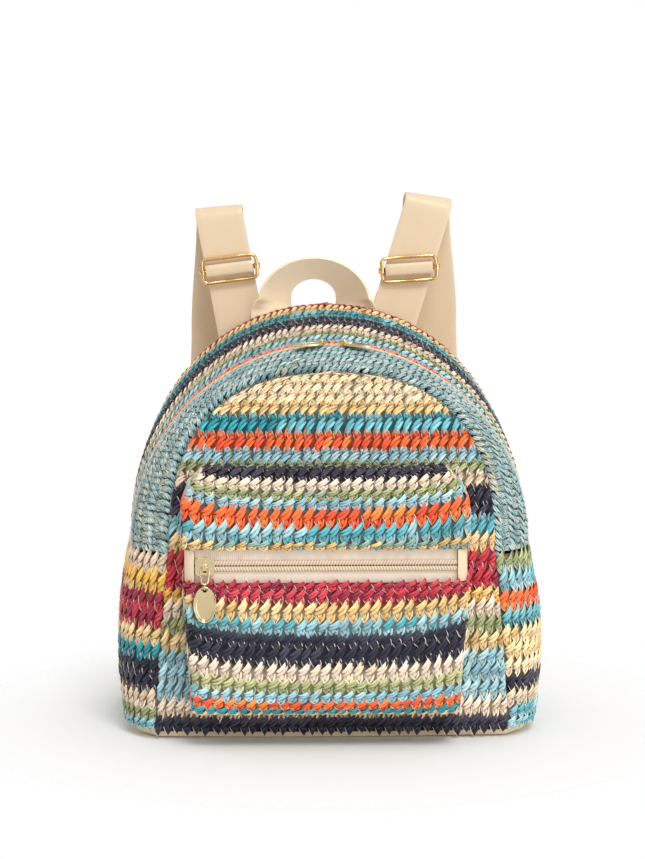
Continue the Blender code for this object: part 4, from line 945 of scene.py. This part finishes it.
PULL_PARTS = (("link", "wire", {"levels": 2, "grow": 0.00007}),
              ("ring", "wire", {"levels": 2, "grow": 0.00006}),
              ("slider", "cast", {"bevel": 0.0003}), ("tag", "polished", {}))
for prefix in ("main_left", "main_right", "pocket"):
    for part, form, settings in PULL_PARTS:
        node = f"{prefix}_{part}"
        piece = refined_copy(f"{node}_{form}", node, f"{node}_body", "pale_gold", GOLD, **settings)
    rimmed(piece)
for label in STRAPS:
    body = f"adjuster_{label}"
    refined_copy(f"adjuster_wire_{label}", f"adjuster_frame_{label}", body, "pale_gold", WARM_GOLD, 2, 0.00005)
    refined_copy(f"adjuster_slide_{label}", f"adjuster_bar_{label}", body, "pale_gold", WARM_GOLD,
                 bevel=0.00015)
    refined_copy(f"strap_ring_wire_{label}", f"strap_ring_{label}", "bag", "pale_gold", GOLD, 2, 0.00005)


# Zips: ribbed nylon on both sides of the slot, and cream tape

COIL_GAP, COIL_WIDTH, COIL_HEIGHT, TOOTH_TIP = 0.0016, 0.0024, 0.0016, 0.00005
COIL_SIDES, COLUMNS_PER_TOOTH, TOOTH_LEAN = 8, 6, 0.35
TAPE, TAPE_RIBS, TAPE_RIB_HEIGHT, TAPE_STEP = 0.0008, 28, 0.00016, 0.004


def coil(name, node, spot, length, side):
    """Spiral teeth: a rounded bar, pinched between the teeth. spot gives points for (along, across, out)."""
    run = np.linspace(0, length, int(length / TOOTH) * COLUMNS_PER_TOOTH + 1)
    turn = np.linspace(0, 2 * np.pi, COIL_SIDES + 1)
    swell = 0.74 + 0.26 * np.cos(2 * np.pi * run / TOOTH)
    outer = COIL_GAP / 2 + COIL_WIDTH
    middle, half = side * (outer + TOOTH_TIP) / 2, (outer - TOOTH_TIP) / 2
    points = [spot(np.clip(run + TOOTH_LEAN * TOOTH * math.cos(a) * side, 0, length),
                   middle + half * math.cos(a) * (0.7 + 0.3 * swell),
                   COIL_HEIGHT / 2 * (1 + math.sin(a) * swell)) for a in turn]
    obj = flat_grid(name, len(run) - 1, COIL_SIDES)
    set_coords(obj, points)
    set_uv(obj, run, turn[:, None])
    closed_up(obj, NYLON)
    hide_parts(node)
    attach(obj, "bag")


def tape(name, node, spot, length, inner, outer):
    """Zip tape with fine raised ribs along it, closed behind."""
    run = np.linspace(0, length, max(2, int(length / TAPE_STEP)) + 1)
    places = inner + (outer - inner) * np.arange(TAPE_RIBS + 1) / TAPE_RIBS
    obj = flat_grid(name, len(run) - 1, TAPE_RIBS)
    lines = [spot(run, place, TAPE_RIB_HEIGHT * (i % 2) - GAP) for i, place in enumerate(places)]
    set_coords(obj, lines)
    set_uv(obj, run, np.abs(places)[:, None])
    apply(obj, "SOLIDIFY", thickness=TAPE, offset=-1.0 if outer > inner else 1.0, use_even_offset=False)
    edit(obj, OUTWARD)
    bpy.ops.object.shade_smooth_by_angle(angle=math.radians(50))
    obj.data.materials.append(TAPE_CLOTH)
    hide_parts(node)
    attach(obj, "bag")


def arch_zip(run, across, out):
    """The main zip's half circle, from left to right."""
    angle = math.pi - run / ZIP_RADIUS
    radius = ZIP_RADIUS - FABRIC + out
    return np.stack([radius * np.cos(angle), ZIP_Y + across + 0 * run, SPRING_Z + radius * np.sin(angle)], -1)


def pocket_zip(run, across, out):
    """The pocket's zip, from left to right."""
    y = POCKET_Y + FABRIC - out
    return np.stack([POCKET_X - POCKET_SPAN + run, y + 0 * run, POCKET_ZIP_Z + across + 0 * run], -1)


POCKET_SPAN = POCKET_ZIP_HALF - POCKET_CORNER - POCKET_ZIP_TAB
MAIN_ZIP = arch_zip, math.pi * ZIP_RADIUS, ZIP_OPENING / 2 + ZIP_LAP - GAP
POCKET_ZIP = pocket_zip, 2 * POCKET_SPAN, POCKET_ZIP_OPENING / 2 + ZIP_LAP
ZIP_SIDES = (("main", "rear", 1, *MAIN_ZIP), ("main", "front", -1, *MAIN_ZIP),
             ("pocket", "upper", 1, *POCKET_ZIP), ("pocket", "lower", -1, *POCKET_ZIP))
for prefix, label, side, spot, length, _ in ZIP_SIDES:
    coil(f"{prefix}_teeth_{label}", f"{prefix}_zip_coil_{label}", spot, length, side)
for prefix, label, side, spot, length, reach in ZIP_SIDES:
    tape(f"{prefix}_tape_{label}", f"{prefix}_zip_tape_{label}", spot, length,
         side * COIL_GAP / 2, side * reach)


# Seams: a cord on both sides of the main zip, and small stitches where the front panel is sewn in

CORD, CORD_TWIST, CORD_DROP, CORD_OFF = 0.0008, 0.0026, 0.004, 0.0002
SEAM_FOOT, SEAM_TOP, SEAM_LIFT = -0.0042, 0.0010, -0.0004


def rim_path(y, lift):
    """Round the body's arch at depth y, from left to right."""
    foot = SPRING_Z - CORD_DROP
    left = np.array([-(side_x(foot, y) + lift), y, foot])
    over = []
    for angle in np.linspace(math.pi, 0, 41):
        spot = arch(angle, y)
        over.append(spot + unit(spot - np.array([0, y, SPRING_Z])) * lift)
    return [left] + over + [left * (-1, 1, 1)]


for label, way, lift in (("rear", 1, 0.0004), ("front", -1, 0.0010)):
    line = refined(rim_path(ZIP_Y + way * (ZIP_OPENING / 2 + CORD_OFF), lift), CORD_TWIST / 5)
    swell = CORD * (0.78 + 0.22 * np.cos(2 * np.pi * run_of(line) / CORD_TWIST))
    cord = rolled(f"zip_piping_{label}", line, np.stack([swell, swell], -1), 6, PIPING, (0.02, 1, 0.03))
    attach(cord, "bag")

rim = refined(rim_path(FRONT_Y, 0.0), 0.002)
rim_run, ahead = centred_run(rim), directions(rim)
outward = np.stack([-ahead[:, 2], 0 * ahead[:, 0], ahead[:, 0]], -1)


def seam_spot(a, b):
    place, away = (np.stack([np.interp(a, rim_run, row) for row in line.T], -1) for line in (rim, outward))
    return place + away * b[:, None]


seam = course_of_stitches("front_seam", seam_spot, rim_run[-1], SEAM_FOOT, SEAM_TOP, "mottled_blue", True,
                          SEAM_LIFT, want=BAND_PITCH, kind=PLAIN_STITCH)
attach(seam, "bag")


# Base: soft cotton, creased where it is drawn in under the straw

RUFFLE = 0.00035
base = refined_copy("base_cloth", "base_panel", "bag", "cream_cloth", CLOTH)
edit(base, ("quads_convert_to_tris", {}), ("subdivide", {"number_cuts": 5}))
points = coords(base)
level = np.clip(points[:, 2] / BASE_HEIGHT, 0, 1)
ruffle = (np.sin(points[:, 0] * 410 + 3 * np.sin(points[:, 0] * 97)) + 0.7 * np.sin(points[:, 0] * 733 + 1.3)
          + 0.6 * np.sin(points[:, 1] * 520 + 0.4)) * RUFFLE
edge = 1 - np.abs(2 * level - 1)
points[:, 1] += np.sign(points[:, 1] + 0.001) * ruffle * edge
points[:, 0] += np.sign(points[:, 0]) * ruffle * edge * (np.abs(points[:, 0]) > 0.09)
points[:, 2] += ruffle * edge * 0.8
set_coords(base, points)
bpy.ops.object.shade_smooth()

for node in ("pocket_zip_tab_left", "pocket_zip_tab_right", "strap_foot_tab_left", "strap_foot_tab_right"):
    refined_copy(node + "_cloth", node, "bag", "cream_cloth", CLOTH, bevel=0.0003)


# Camera, floor and light

def look_at(obj, target):
    ray = Vector(target) - obj.location
    obj.rotation_euler = ray.to_track_quat("-Z", "Y").to_euler()


CAMERA_PLACE, CAMERA_AIM, CAMERA_LENS = (-0.0456, -1.5995, 0.369), (-0.0037, 0, 0.1682), 117.3
bpy.ops.object.camera_add(location=CAMERA_PLACE)
camera = bpy.context.object
camera.data.lens = CAMERA_LENS
look_at(camera, CAMERA_AIM)
bpy.context.scene.camera = camera

# A white floor that fades into the white behind it
FADE_START, FADE_END = 0.10, 0.27
bpy.ops.mesh.primitive_plane_add(size=6, location=(0, 0, -0.0002))
floor = bpy.context.object
floor.name = "floor"
floor_mat, tree, shader = new_material("white_floor")
wire(tree, shader, {"Base Color": (0.93, 0.93, 0.93, 1), "Roughness": 0.9})
far = add(tree, "VectorMath", {0: add(tree, "TexCoord")["Object"]}, operation="LENGTH")["Value"]
fade = add(tree, "MapRange", {"Value": far, "From Min": FADE_START, "From Max": FADE_END},
           interpolation_type="SMOOTHSTEP")["Result"]
blend = add(tree, "MixShader", {0: fade, 1: shader.outputs[0], 2: add(tree, "BsdfTransparent")[0]})[0]
wire(tree, tree.nodes["Material Output"], {"Surface": blend})
floor.data.materials.append(floor_mat)


def sun(name, direction, strength, spread):
    """Light from afar, so that it is even over the whole floor; spread softens its shadows."""
    bpy.ops.object.light_add(type="SUN", location=direction)
    light = bpy.context.object
    light.name = name
    light.data.energy = strength
    light.data.angle = math.radians(spread)
    look_at(light, (0, 0, 0))


sun("key", (0.25, -0.9, 1.2), 1.3, 22)
sun("fill", (0.8, -0.85, 0.12), 0.80, 40)

# White behind the object; light and reflections come from a pale room with a dim band above eye height
ROOM_LIGHT = 0.72
ROOM_FOOT, ROOM_TOP = (1.30, 1.26, 1.20, 1), (1.15, 1.15, 1.15, 1)
ROOM_GREYS = ((0.46, 1.05), (0.535, 1.10), (0.57, 0.20), (0.61, 0.20), (0.65, 0.95))
world = bpy.data.worlds.new("studio")
bpy.context.scene.world = world
world.use_nodes = True
tree = world.node_tree
height = add(tree, "SeparateXYZ", {"Vector": add(tree, "TexCoord")["Generated"]})["Z"]
shade = add(tree, "ValToRGB", {"Fac": ranged(tree, height, 0.0, 1.0, -1.0)})["Color"]
steps = shade.node.color_ramp.elements
steps[0].position, steps[0].color = 0.0, ROOM_FOOT
steps[1].position, steps[1].color = 1.0, ROOM_TOP
for position, grey in ROOM_GREYS:
    steps.new(position).color = (grey, grey * 0.99, grey * 0.97, 1)
room = tree.nodes["Background"]
wire(tree, room, {"Color": shade, "Strength": ROOM_LIGHT})
white = add(tree, "Background", {"Color": (1, 1, 1, 1)})[0]
seen = add(tree, "LightPath")["Is Camera Ray"]
mix = add(tree, "MixShader", {0: seen, 1: room.outputs[0], 2: white})[0]
wire(tree, tree.nodes["World Output"], {"Surface": mix})

bpy.context.scene.view_settings.view_transform = "Standard"

for one in (FULL_STITCH[0], PLAIN_STITCH[0]):
    pick(one)
    bpy.ops.object.delete()
